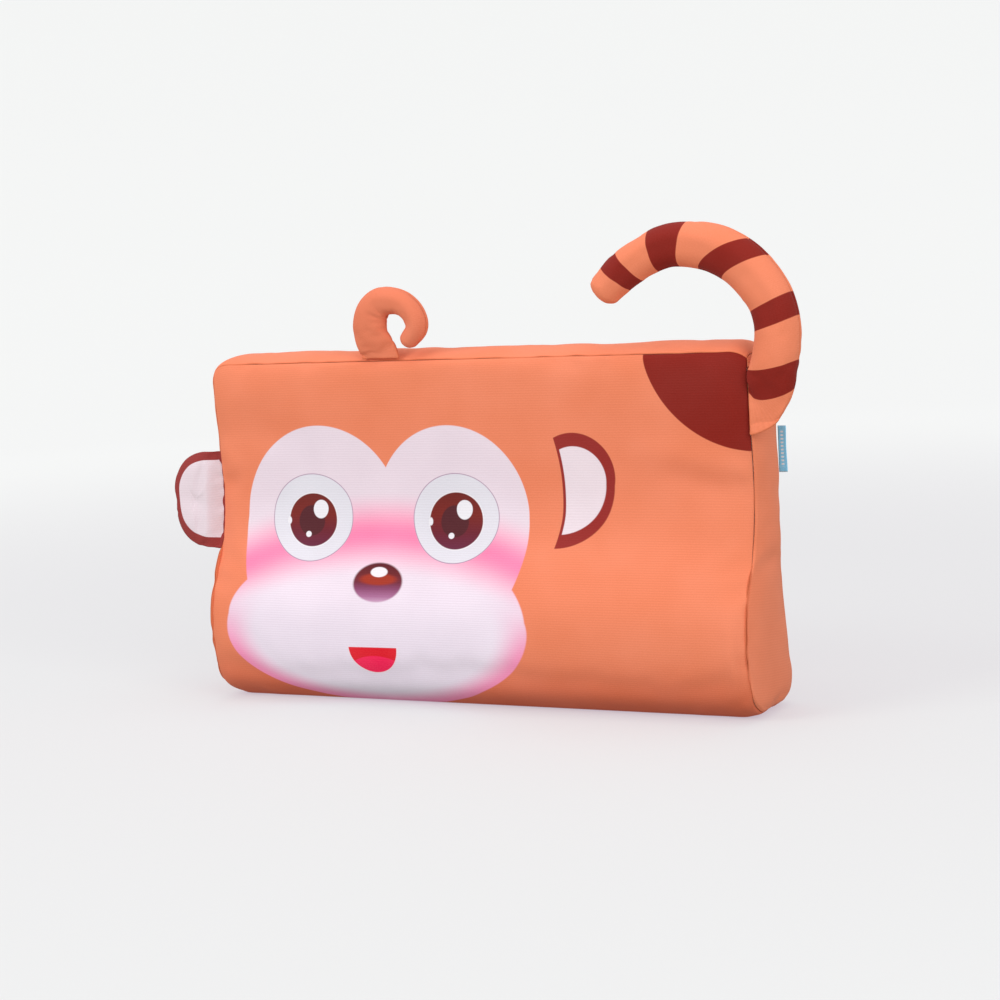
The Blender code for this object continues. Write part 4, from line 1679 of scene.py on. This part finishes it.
@dataclass
class StuffedTube:
    """A stuffed tube of two fabric halves, sewn along its outer and inner edges.

    Its keys are (x, z, half width, half depth) in millimetres.
    """

    prefix: str
    body: str
    keys: tuple[tuple[float, float, float, float], ...]
    plane_y: float
    tip: float
    root_way: Pair
    key_steps: int
    finish: Material
    slot_name: str
    settling: Settling
    folds: tuple[Fold, ...] = ()
    sides: int = 32
    ring_step: float = 3.0 * MM
    root_rings: float = 8.0
    flare: float = 0.7
    cloth: float = 0.8 * MM
    root_in: float = 3.5 * MM
    blend_length: float = 24 * MM
    lumps: float = 0.5 * MM
    fibre_in: float = 3.8
    fibre_from: int = 2
    lap: float = 0.0
    tip_turns: tuple[float, ...] = (12, 24, 36, 48, 60, 70, 79, 86)
    fill_share: float = 0.85

    def rings(self) -> list[tuple[np.ndarray, np.ndarray, float, float, float]]:
        """Returns the tube's rings as (centre, way, half width, half depth, length so far)."""
        line = smooth_line(self.keys)
        along = distances_of(line)
        count = int(round(along[-1] / self.ring_step))
        spots = np.linspace(0, along[-1], count + 1)
        samples = points_at(line, spots)
        made = []
        for i, (x, z, wide, deep) in enumerate(samples):
            ahead, behind = samples[min(i + 1, count)], samples[max(i - 1, 0)]
            way = (ahead - behind)[:2]
            way = way / np.linalg.norm(way) if i else np.array(self.root_way)
            made.append((np.array((x, z)), way, wide, deep, spots[i]))
        centre, way, wide, deep, length = made[-1]
        for turn in np.radians(self.tip_turns):
            made.append((centre + way * self.tip * math.sin(turn), way, wide * math.cos(turn),
                         deep * math.cos(turn), length + self.tip * turn))
        first = made[0]
        inside = (first[0] - first[1] * self.root_in, first[1], first[2] * 0.98, first[3] * 0.9,
                  -self.root_in)
        return [inside] + made

    def skin(self) -> SewnSkin:
        """Builds the tube's closed skin.

        Returns:
            The skin, before it is filled.
        """
        rings = self.rings()
        skin = SewnSkin()
        root, root_way = rings[1][0], np.array(self.root_way)
        reach_end = distances_of(smooth_line(self.keys))[-1] * self.root_rings / self.key_steps
        loops = []
        for number, (centre, way, wide, deep, length) in enumerate(rings):
            side = np.array((way[1], -way[0]))
            loop = []
            for i in range(self.sides):
                turn = 2 * math.pi * i / self.sides
                flat = centre + side * wide * math.cos(turn)
                rise = deep * math.sin(turn)
                if number and length <= reach_end:
                    reach = float((flat - root) @ root_way)
                    lapped = self.lap and rise < 0
                    limit = -min(self.lap, -rise) if lapped else self.flare * abs(rise)
                    flat = flat + root_way * max(limit - reach, 0.0)
                loop.append(skin.point((flat[0], self.plane_y + rise, flat[1]),
                                       wide * math.cos(turn), length))
            loops.append(loop)
        centre, way, _, _, length = rings[-1]
        pole_place = centre + way * self.tip * (1 - math.sin(math.radians(self.tip_turns[-1])))
        pole = skin.point((pole_place[0], self.plane_y, pole_place[1]), 0.0, length)
        for i in range(self.sides):
            n = (i + 1) % self.sides
            half = Half.BACK.value if i < self.sides // 2 else Half.FRONT.value
            for first, second in zip(loops, loops[1:]):
                skin.face((first[i], first[n], second[n], second[i]), half)
            skin.face((loops[-1][i], loops[-1][n], pole), half)
        skin.face(loops[0], Half.ROOT.value)
        skin.close()
        return skin

    def inside(self) -> "StuffedTube":
        """Describes the fibre inside the tube, which starts a little beyond the root.

        Returns:
            A slimmer tube.
        """
        keys = tuple((x, z, wide - self.fibre_in, deep - self.fibre_in)
                     for x, z, wide, deep in self.keys[self.fibre_from:])
        x, z, wide, deep = keys[0]
        way = np.array(keys[1][:2]) - np.array((x, z))
        way = way / np.linalg.norm(way)
        return replace(self, keys=((x, z, wide * 0.6, deep * 0.6), *keys[1:]), flare=0.0, lap=0.0,
                       tip=self.tip - self.fibre_in * MM, root_in=0.5 * MM,
                       root_way=(float(way[0]), float(way[1])), ring_step=5 * MM, sides=20)

    def fill(self, skin: SewnSkin) -> None:
        """Stuffs the tube with fibre, which leaves it a little lumpy and puckered.

        Args:
            skin: The skin, which is changed.
        """
        held = skin.on_seam()
        skin.settle(self.prefix + "_stuffing", self.settling, held)
        around = np.array([vert[skin.around] for vert in skin.bm.verts])
        across = np.array([vert[skin.across] for vert in skin.bm.verts])
        home = skin.places()
        rise = np.array([noise.noise(Vector(p) * 34.0) for p in home]) * self.lumps
        rise += lift_of(self.folds, np.stack([across, around], axis=1) / MM)
        rise[held | (around < 1 * MM)] = 0.0
        skin.lift(rise)

    def bend(self) -> Bend:
        """Returns the body the tube moves with, and where its bend starts and ends."""
        (x, z), reach = smooth_line(self.keys)[0][:2], self.blend_length
        end = (x + self.root_way[0] * reach, self.plane_y, z + self.root_way[1] * reach)
        return self.body, (x, self.plane_y, z), end

    def build(self) -> None:
        """Builds the two fabric halves and the filling inside them."""
        skin = self.skin()
        self.fill(skin)
        for half in (Half.FRONT, Half.BACK):
            side = half.name.lower()
            piece = skin.cut(f"{self.prefix}_{side}_cover", [half.value], flat_map, self.cloth,
                             tuck=0.4 * MM, pucker=0.25 * MM)
            declare(piece, self.finish, f"{self.prefix}_{side}_panel",
                    self.bend())
        filling = self.inside().skin().cut(f"{self.prefix}_fibre", [half.value for half in Half])
        declare(filling, FIBRE, f"{self.prefix}_filling",
                self.bend())


@dataclass
class SewnEar:
    """The sewn ear: a printed front and a brown back over a little wadding.

    Its outline keys are (x, z) in millimetres from the foot of its root seam, and front is the
    pillow's front outline, (y, z) in metres.
    """

    front: np.ndarray
    keys: tuple[Pair, ...] = (
        (0, 1), (-13, 3.5), (-25, 9), (-33.5, 18), (-38.5, 30), (-41, 50), (-40, 62), (-35, 73),
        (-26, 81.5), (-13, 86), (0, 86))
    base_x: float = -249.4 * MM
    bottom: Pair = (-38 * MM, 130 * MM)
    top: Pair = (-30.5 * MM, 216 * MM)
    centre: Pair = (-18 * MM, 44 * MM)
    half_depth: float = 3.8 * MM
    root_half: float = 1.4 * MM
    flare: float = 0.5
    root_in: float = 3.6 * MM
    joining: float = 7 * MM
    seam_back: float = 4.4 * MM
    cloth: float = 0.6 * MM
    rings: tuple[float, ...] = (0.985, 0.96, 0.925, 0.88, 0.81, 0.72, 0.62, 0.5, 0.37, 0.24, 0.12)
    curve_points: int = 72
    root_points: int = 24
    border: float = 6.5
    border_high: float = 1.7
    border_low: float = 4.5
    bend_y: float = -0.034
    bend_length: float = 12 * MM
    fill_share: float = 0.35
    folds: tuple[Fold, ...] = (
        Fold((-264, 131), (-250, 146), 2.2, -1.3), Fold((-268, 134), (-253, 150), 2.4, 0.8),
        Fold((-284, 178), (-252, 166), 7.0, -0.9), Fold((-276, 200), (-252, 190), 6.0, 0.6),
        Fold((-262, 205), (-250, 212), 2.5, -0.9))

    def outline(self) -> np.ndarray:
        """Returns the ear's outline, its curve first and then its root line."""
        curve = smooth_line(self.keys)
        curve = points_at(curve, np.linspace(0, distances_of(curve)[-1], self.curve_points))
        heights = np.linspace(curve[-1, 1], curve[0, 1], self.root_points)[1:-1]
        root = np.stack([np.full(len(heights), curve[0, 0]), heights], axis=1)
        return np.concatenate([curve, root])

    def spot(self, x: float, z: float, offset: float) -> tuple[float, float, float]:
        """Finds a place on the ear.

        Args:
            x: Its distance right of the root line.
            z: Its height above the ear's foot.
            offset: How far behind the ear's middle plane it is.

        Returns:
            The place.
        """
        height = self.bottom[1] + z
        share = (height - self.bottom[1]) / (self.top[1] - self.bottom[1])
        plane = self.bottom[0] + share * (self.top[0] - self.bottom[0])
        near = max(0.0, 1 + x / self.joining)
        seam = float(np.interp(height, self.front[::-1, 1], self.front[::-1, 0])) + self.seam_back
        return (self.base_x + x + self.root_in * near,
                (plane + offset) * (1 - near) + (seam + offset) * near, height)

    def skin(self) -> SewnSkin:
        """Builds the ear's closed skin: panel 0 is its front and panel 1 its back.

        Returns:
            The skin, before it is filled.
        """
        outline, centre = self.outline(), np.array(self.centre)
        skin = SewnSkin()
        rim = [skin.point(self.spot(x, z, 0.0), x, z) for x, z in outline]
        count = len(rim)
        for panel, side in ((0, -1), (1, 1)):
            outer = rim
            for share in self.rings:
                places = centre + (outline - centre) * share
                swell = math.sqrt(1 - max(0.0, (share - 0.7) / 0.3) ** 2)
                inner = []
                for x, z in places:
                    half = min(self.half_depth, self.root_half - x * self.flare)
                    offset = side * half * (0.1 + 0.9 * swell)
                    inner.append(skin.point(self.spot(x, z, offset), x, z))
                for i in range(count):
                    n = (i + 1) % count
                    skin.face((outer[i], outer[n], inner[n], inner[i]), panel)
                outer = inner
            middle = skin.point(self.spot(centre[0], centre[1], side * self.half_depth), *centre)
            for i in range(count):
                skin.face((outer[i], outer[(i + 1) % count], middle), panel)
        skin.close()
        return skin

    def mark_inset(self, piece: Object) -> None:
        """Writes how far inside the brown border each vertex is, for the ear's print.

        Args:
            piece: The ear's front.
        """
        curve = smooth_line(self.keys, per_span=60)
        tree = tree_of(Vector((self.base_x + x, 0.0, self.bottom[1] + z)) for x, z in curve)
        inset = piece.data.attributes.new("inset", "FLOAT", "POINT")
        for number, vert in enumerate(piece.data.vertices):
            flat = Vector((vert.co.x, 0.0, vert.co.z))
            away = (vert.co.z - self.bottom[1] - self.centre[1]) / (42 * MM)
            wider = (self.border_high if away > 0 else self.border_low) * min(away ** 2, 1.0)
            inset.data[number].value = tree.find(flat)[2] - (self.border + wider) * MM

    def bend(self) -> Bend:
        """Returns the body the ear moves with, and where its bend starts and ends."""
        height = self.bottom[1] + self.centre[1]
        return ("ear", (self.base_x, self.bend_y, height),
                (self.base_x - self.bend_length, self.bend_y, height))

    def build(self) -> None:
        """Builds the ear's two layers and its wadding."""
        skin = self.skin()
        held = skin.on_seam()
        how = Settling(start_in=0.4 * MM, seam_in=0.0, most_out=0.9 * MM, most_in=1.2 * MM,
                       most_along=0.8 * MM, slack=-0.04)
        skin.settle("ear_filling", how, held)
        rise = lift_of(self.folds, skin.places()[:, [0, 2]] / MM)
        rise[held] = 0.0
        skin.lift(rise)
        for panel, side, finish in ((0, "front", EAR_FRONT_KNIT), (1, "back", EAR_BACK_KNIT)):
            piece = skin.cut(f"ear_{side}_cover", [panel], flat_map, self.cloth, tuck=0.25 * MM,
                             pucker=0.2 * MM)
            if side == "front":
                self.mark_inset(piece)
            declare(piece, finish, f"ear_{side}_panel", self.bend())
        keys = tuple((x * 0.84 - 6, z * 0.86 + 6) for x, z in self.keys)
        inner = replace(self, keys=keys, half_depth=self.half_depth - 2.4 * MM, root_half=0.3 * MM)
        wadding = inner.skin().cut("ear_fleece", [0, 1])
        declare(wadding, FIBRE, "ear_wadding", self.bend())


@dataclass
class WovenTag:
    """The woven tag, folded once, with its two ends sewn into the back seam."""

    start_x: float = 248.0 * MM
    fold_x: float = 254.6 * MM
    middle_y: float = 32.6 * MM
    gap: float = 0.28 * MM
    low_z: float = 190.7 * MM
    high_z: float = 228.3 * MM
    cloth: float = 0.24 * MM
    rows: int = 26
    sway: float = 0.5 * MM
    dent: float = 0.25 * MM

    def path(self) -> np.ndarray:
        """Returns the tag's section as (x, y): out, round the fold and back."""
        turn_x = self.fold_x - self.gap
        out = [(x, self.middle_y - self.gap) for x in np.linspace(self.start_x, turn_x, 8)]
        turn = [(turn_x + self.gap * math.sin(t), self.middle_y - self.gap * math.cos(t))
                for t in np.linspace(0, math.pi, 7)[1:-1]]
        back = [(x, self.middle_y + self.gap) for x, _ in reversed(out)]
        return np.array(out + turn + back)

    def build(self) -> None:
        path = self.path()
        lengths = distances_of(path)
        bm = bmesh.new()
        cloth_map = bm.loops.layers.uv.new("cloth")
        grid, places = [], {}
        for z in np.linspace(self.low_z, self.high_z, self.rows):
            line, height = [], z - self.low_z
            for (x, y), length in zip(path, lengths):
                free = (x - self.start_x) / (self.fold_x - self.start_x)
                sway = self.sway * free * math.sin(height * 95 + 0.6)
                dent = self.dent * free * math.cos(height * 160)
                vert = bm.verts.new((x + dent, y + sway, z))
                places[vert] = (length, height)
                line.append(vert)
            grid.append(line)
        for low, high in zip(grid, grid[1:]):
            for i in range(len(path) - 1):
                face = bm.faces.new((low[i], low[i + 1], high[i + 1], high[i]))
                for loop in face.loops:
                    loop[cloth_map].uv = places[loop.vert]
        tag = smooth_object("woven_tag", bm)
        thicken(tag, self.cloth, 0.0)
        apply_all(tag)
        wear(tag, WOVEN_TAG)
        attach(tag, "side_label")
        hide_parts("side_label")
        report(tag)


@dataclass
class BackZip:
    """The zip across the back: two tapes, two coils, and rows of stitches beside them."""

    z: float = 130 * MM
    face_y: float = 34 * MM
    half: float = 199.7 * MM
    tape_z: Pair = (2.2 * MM, 6.7 * MM)
    tape_y: Pair = (-0.7 * MM, 0.1 * MM)
    coil_x: Pair = (-193.3 * MM, 193.3 * MM)
    coil_pitch: float = 1.3 * MM
    coil_centre: Pair = (0.15 * MM, 1.2 * MM)
    coil_half: Pair = (0.55 * MM, 0.62 * MM)
    wire: float = 0.17 * MM
    stitch: float = 2.3 * MM
    stitch_pitch: float = 3.1 * MM
    stitch_z: float = 9.3 * MM
    thread_radius: float = 0.24 * MM
    coil_lean: float = 9.0

    def tape(self, name: str, sign: int) -> Object:
        """Models one tape: a flat band with a thicker woven edge.

        Args:
            name: The tape's name.
            sign: 1 above the coils and -1 below.

        Returns:
            The tape.
        """
        low, high = self.face_y + self.tape_y[0], self.face_y + self.tape_y[1]
        middle = self.z + sign * sum(self.tape_z) / 2
        deselect()
        bpy.ops.mesh.primitive_cube_add(size=1.0, location=(0, (low + high) / 2, middle))
        tape = open_primitive(name, (2 * self.half, high - low, self.tape_z[1] - self.tape_z[0]))
        select_faces(tape, lambda normal: normal.y > 0.9)
        bpy.ops.mesh.inset(thickness=0.7 * MM, depth=-0.16 * MM)
        bpy.ops.mesh.select_all(action="SELECT")
        bpy.ops.mesh.bevel(offset=0.07 * MM, segments=2, affect="EDGES")
        bpy.ops.object.mode_set(mode="OBJECT")
        return tape

    def repeat(self, item: Object, count: int, step: float) -> None:
        """Repeats a piece along X.

        Args:
            item: The piece.
            count: How many there are in the end.
            step: The distance between two.
        """
        copies = item.modifiers.new("Row", "ARRAY")
        copies.count = count
        copies.use_relative_offset = False
        copies.use_constant_offset = True
        copies.constant_offset_displace = (step, 0.0, 0.0)
        apply_all(item)

    def coil(self, name: str, sign: int) -> Object:
        """Models one coil: a loop of nylon wire, flattened and leaning, repeated along the tape.

        Args:
            name: The coil's name.
            sign: 1 above the middle line and -1 below.

        Returns:
            The coil.
        """
        shift = 0.0 if sign > 0 else self.coil_pitch / 2
        centre = (self.coil_x[0] + self.coil_pitch / 2 + shift, self.face_y + self.coil_centre[0],
                  self.z + sign * self.coil_centre[1])
        deselect()
        bpy.ops.mesh.primitive_torus_add(major_segments=10, minor_segments=5, major_radius=1.0,
                                         minor_radius=0.32, rotation=(0, math.pi / 2, 0),
                                         location=centre)
        coil = open_primitive(name, (self.coil_half[1], self.coil_half[0], 1.7 * self.wire))
        bpy.ops.mesh.select_all(action="SELECT")
        bpy.ops.transform.rotate(value=sign * math.radians(self.coil_lean), orient_axis="Y",
                                 center_override=centre)
        bpy.ops.object.mode_set(mode="OBJECT")
        span = self.coil_x[1] - self.coil_x[0]
        self.repeat(coil, int(span / self.coil_pitch) - 1, self.coil_pitch)
        coil.data.shade_smooth()
        return coil

    def stitches(self, name: str, z: float, cloth: Object) -> Object:
        """Models a row of stitches that lies on the cloth.

        Args:
            name: The row's name.
            z: Its height.
            cloth: The piece it is sewn through.

        Returns:
            The row.
        """
        start = -self.half + self.stitch_pitch
        place = (start, self.face_y, z)
        deselect()
        bpy.ops.mesh.primitive_cylinder_add(vertices=6, radius=self.thread_radius,
                                            depth=self.stitch, rotation=(0, math.pi / 2, 0),
                                            location=place)
        row = open_primitive(name)
        select_faces(row, lambda normal: abs(normal.x) > 0.9)
        bpy.ops.mesh.bevel(offset=0.14 * MM, segments=2, affect="EDGES")
        bpy.ops.object.mode_set(mode="OBJECT")
        each = len(row.data.vertices)
        count = int(2 * self.half / self.stitch_pitch) - 1
        self.repeat(row, count, self.stitch_pitch)
        surface = bvhtree.BVHTree.FromObject(cloth, bpy.context.evaluated_depsgraph_get())
        for number in range(count):
            middle = start + number * self.stitch_pitch
            hit = surface.ray_cast(Vector((middle, 0.09, z)), Vector((0, -1, 0)))[0]
            shift = (hit.y if hit else self.face_y) - self.face_y
            for k in range(number * each, (number + 1) * each):
                row.data.vertices[k].co.y += shift
        row.data.shade_smooth()
        return row

    def build(self, cover: dict[Panel, Object]) -> None:
        """Builds the zip's soft parts and gives its metal ones their finish.

        Args:
            cover: The cover's pieces.
        """
        for side, sign in (("upper", 1), ("lower", -1)):
            declare(self.tape(f"tape_{side}", sign), ZIP_TAPE, f"zip_tape_{side}")
            declare(self.coil(f"coil_{side}", sign), ZIP_COIL, f"zip_coil_{side}")
            cloth = cover[Panel.BACK] if sign > 0 else cover[Panel.FRONT]
            row = self.stitches(f"stitches_{side}", self.z + sign * self.stitch_z, cloth)
            declare(row, THREAD)
        for node in ("zip_slider", "zip_pull", "zip_top_stop", "zip_bottom_stop"):
            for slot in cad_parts[node].material_slots:
                slot.material = NICKEL


@dataclass
class Studio:
    """The pale floor that sweeps up all round, the soft lights and the camera."""

    yaw: float = 26.503
    pitch: float = 6.283
    roll: float = -2.829
    lens: float = 81.32
    eye: tuple[float, float, float] = (0.85265, -1.68545, 0.37818)
    floor_radius: float = 3.2
    sweep: float = 1.6
    sweep_step: float = 15.0
    floor_base: Colour = (0.305, 0.35, 0.295)
    # The dimmer, pinker glow near the pillow is a painted soft shadow with painted pink bounce light.
    shadowed_glow: Colour = (0.493, 0.442, 0.507)
    glow_far: Colour = (0.678, 0.650, 0.685)
    shadow_reach: Pair = (0.6, 3.0)
    air: Colour = (0.90, 0.90, 0.93)
    air_strength: float = 0.75
    lamps: tuple[tuple[str, Colour, float, float], ...] = (
        ("key", (-1.9, -2.5, 1.9), 1.8, 47.0), ("fill", (2.2, -1.8, 1.4), 2.0, 36.0),
        ("top", (0.0, 0.0, 2.6), 2.0, 14.0))

    def floor(self) -> None:
        """Models the floor: a disc whose edge is extruded outwards and up in a curve."""
        deselect()
        bpy.ops.mesh.primitive_circle_add(vertices=96, radius=self.floor_radius, fill_type="NGON")
        floor = bpy.context.object
        floor.name = "studio_floor"
        pick(floor)
        bpy.ops.object.mode_set(mode="EDIT")
        bpy.ops.mesh.select_all(action="SELECT")
        bpy.ops.mesh.region_to_loop()
        radius, height = self.floor_radius, 0.0
        for turn in np.radians(np.arange(self.sweep_step, 91.0, self.sweep_step)):
            wide = self.floor_radius + self.sweep * math.sin(turn)
            rise = self.sweep * (1 - math.cos(turn)) - height
            bpy.ops.mesh.extrude_region_move(TRANSFORM_OT_translate={"value": (0, 0, rise)})
            factor = wide / radius
            bpy.ops.transform.resize(value=(factor, factor, 1.0), center_override=(0.0, 0.0, 0.0))
            radius, height = wide, height + rise
        bpy.ops.mesh.select_all(action="SELECT")
        bpy.ops.mesh.normals_make_consistent(inside=True)
        bpy.ops.object.mode_set(mode="OBJECT")
        floor.data.shade_smooth()
        made, bench, shader = start_material("Studio floor")
        # Painted shadow: the floor glows dimmer and pinker near the pillow and evenly farther out. Camera
        # rays see the full glow, and other rays about a third of it.
        away = bench.vector("LENGTH", bench.object_point()).outputs["Value"]
        glow = bench.over(bench.fade(away, *self.shadow_reach), (*self.shadowed_glow, 1.0),
                          (*self.glow_far, 1.0))
        seen = bench.add("ShaderNodeLightPath").outputs["Is Camera Ray"]
        bench.give(shader, Base_Color=(*self.floor_base, 1.0), Roughness=0.9,
                   Specular_IOR_Level=0.1, Emission_Color=glow,
                   Emission_Strength=bench.math("MULTIPLY_ADD", seen, 0.65, 0.35))
        wear(floor, made)

    def light(self, name: str, place: Sequence[float], size: float, watts: float) -> None:
        """Adds a white soft box that faces the pillow.

        Args:
            name: The light's name.
            place: Where it stands.
            size: Its side.
            watts: Its power.
        """
        lamp = bpy.data.lights.new(name, "AREA")
        lamp.shape, lamp.size, lamp.energy = "SQUARE", size, watts
        item = add_to_scene(name, lamp)
        item.location = place
        aim = Vector((0, 0, 0.15)) - Vector(place)
        item.rotation_mode = "QUATERNION"
        item.rotation_quaternion = aim.to_track_quat("-Z", "Y")

    def camera(self) -> None:
        """Adds the camera."""
        yaw, pitch, roll = (math.radians(a) for a in (self.yaw, self.pitch, self.roll))
        ahead = Vector((-math.sin(yaw) * math.cos(pitch), math.cos(yaw) * math.cos(pitch),
                        -math.sin(pitch)))
        level = Vector((math.cos(yaw), math.sin(yaw), 0))
        up = level.cross(ahead)
        right = level * math.cos(roll) + up * math.sin(roll)
        upright = up * math.cos(roll) - level * math.sin(roll)
        data = bpy.data.cameras.new("camera")
        data.lens, data.sensor_width = self.lens, 36.0
        item = add_to_scene("camera", data)
        turn = Matrix((right, upright, -ahead)).transposed().to_4x4()
        item.matrix_world = Matrix.Translation(Vector(self.eye)) @ turn
        bpy.context.scene.camera = item

    def build(self) -> None:
        """Sets the studio up."""
        world = bpy.data.worlds.new("Studio air")
        world.use_nodes = True
        air = world.node_tree.nodes["Background"]
        air.inputs[0].default_value = (*self.air, 1.0)
        air.inputs[1].default_value = self.air_strength
        bpy.context.scene.world = world
        bpy.context.scene.view_settings.view_transform = "Standard"
        self.floor()
        for lamp in self.lamps:
            self.light(*lamp)
        self.camera()


def tail() -> StuffedTube:
    """Describes the striped tail.

    Returns:
        The tail.
    """
    return StuffedTube(
        prefix="tail", body="tail",
        keys=((250.2, 253.5, 27, 1.6), (257, 258, 24, 6), (265, 270, 21, 11), (270, 288, 19.5, 14),
              (272, 308, 19, 15), (268.5, 327, 19, 15.5), (260, 343, 19.5, 16),
              (244, 360, 19.5, 16), (226, 370.5, 19.5, 16), (206, 375.5, 18.5, 15.5),
              (185, 375.5, 17.5, 15), (164, 368, 16.5, 14.5), (146, 357, 16, 14),
              (130.5, 344.5, 15, 13)),
        plane_y=-30 * MM, tip=10 * MM, root_way=(1.0, 0.0), key_steps=26, finish=STRIPED_KNIT,
        slot_name="striped_knit", lap=3.4 * MM, fibre_from=3,
        settling=Settling(start_in=0.9 * MM, seam_in=0.1 * MM, most_out=0.5 * MM, slack=-0.03),
        folds=(Fold((-19, 84), (2, 78), 4.5, -0.9), Fold((-18, 108), (3, 112), 6, -0.8),
               Fold((-18, 58), (0, 62), 6, 0.7), Fold((-16, 150), (4, 146), 6, -0.6),
               Fold((10, 196), (17, 214), 7, -0.8), Fold((8, 10), (-14, 26), 7, -0.9)))


def hair_curl() -> StuffedTube:
    """Describes the stuffed curl of hair.

    Returns:
        The curl.
    """
    return StuffedTube(
        prefix="curl", body="hair_curl",
        keys=((-77, 296.2, 17.5, 1.6), (-81, 304, 17.5, 6), (-84.5, 313, 16.5, 9),
              (-85, 322, 16, 11), (-82, 332, 15, 12), (-74, 340, 13.5, 12), (-63, 341, 12, 12),
              (-51.5, 337, 11, 11.5), (-43, 328, 10.5, 11), (-41.5, 318, 10, 10.5),
              (-48.5, 309, 8.7, 9.5)),
        plane_y=-32 * MM, tip=7.5 * MM, root_way=(0.0, 1.0), key_steps=20, finish=CURL_KNIT,
        slot_name="orange_knit",
        settling=Settling(start_in=0.9 * MM, seam_in=0.6 * MM, most_out=0.1 * MM, slack=-0.03),
        folds=(Fold((15, 40), (3, 37), 1.6, -1.2), Fold((15, 46), (4, 47), 1.8, -1.1),
               Fold((14, 34), (5, 28), 2.0, -0.7), Fold((12, 66), (5, 68), 2.5, -0.5)),
        ring_step=2.4 * MM, sides=28, blend_length=14 * MM, lumps=0.3 * MM)


def main() -> None:
    """Builds the pillow, its parts and its studio."""
    logging.basicConfig(level=logging.INFO, format="%(message)s")
    deselect()
    cover = PillowCover()
    pieces = cover.build()
    PillowInside(cover).build()
    tail().build()
    hair_curl().build()
    SewnEar(cover.lines()[Run.FRONT]).build()
    WovenTag().build()
    BackZip().build(pieces)
    Studio().build()


if __name__ == "__main__":
    main()
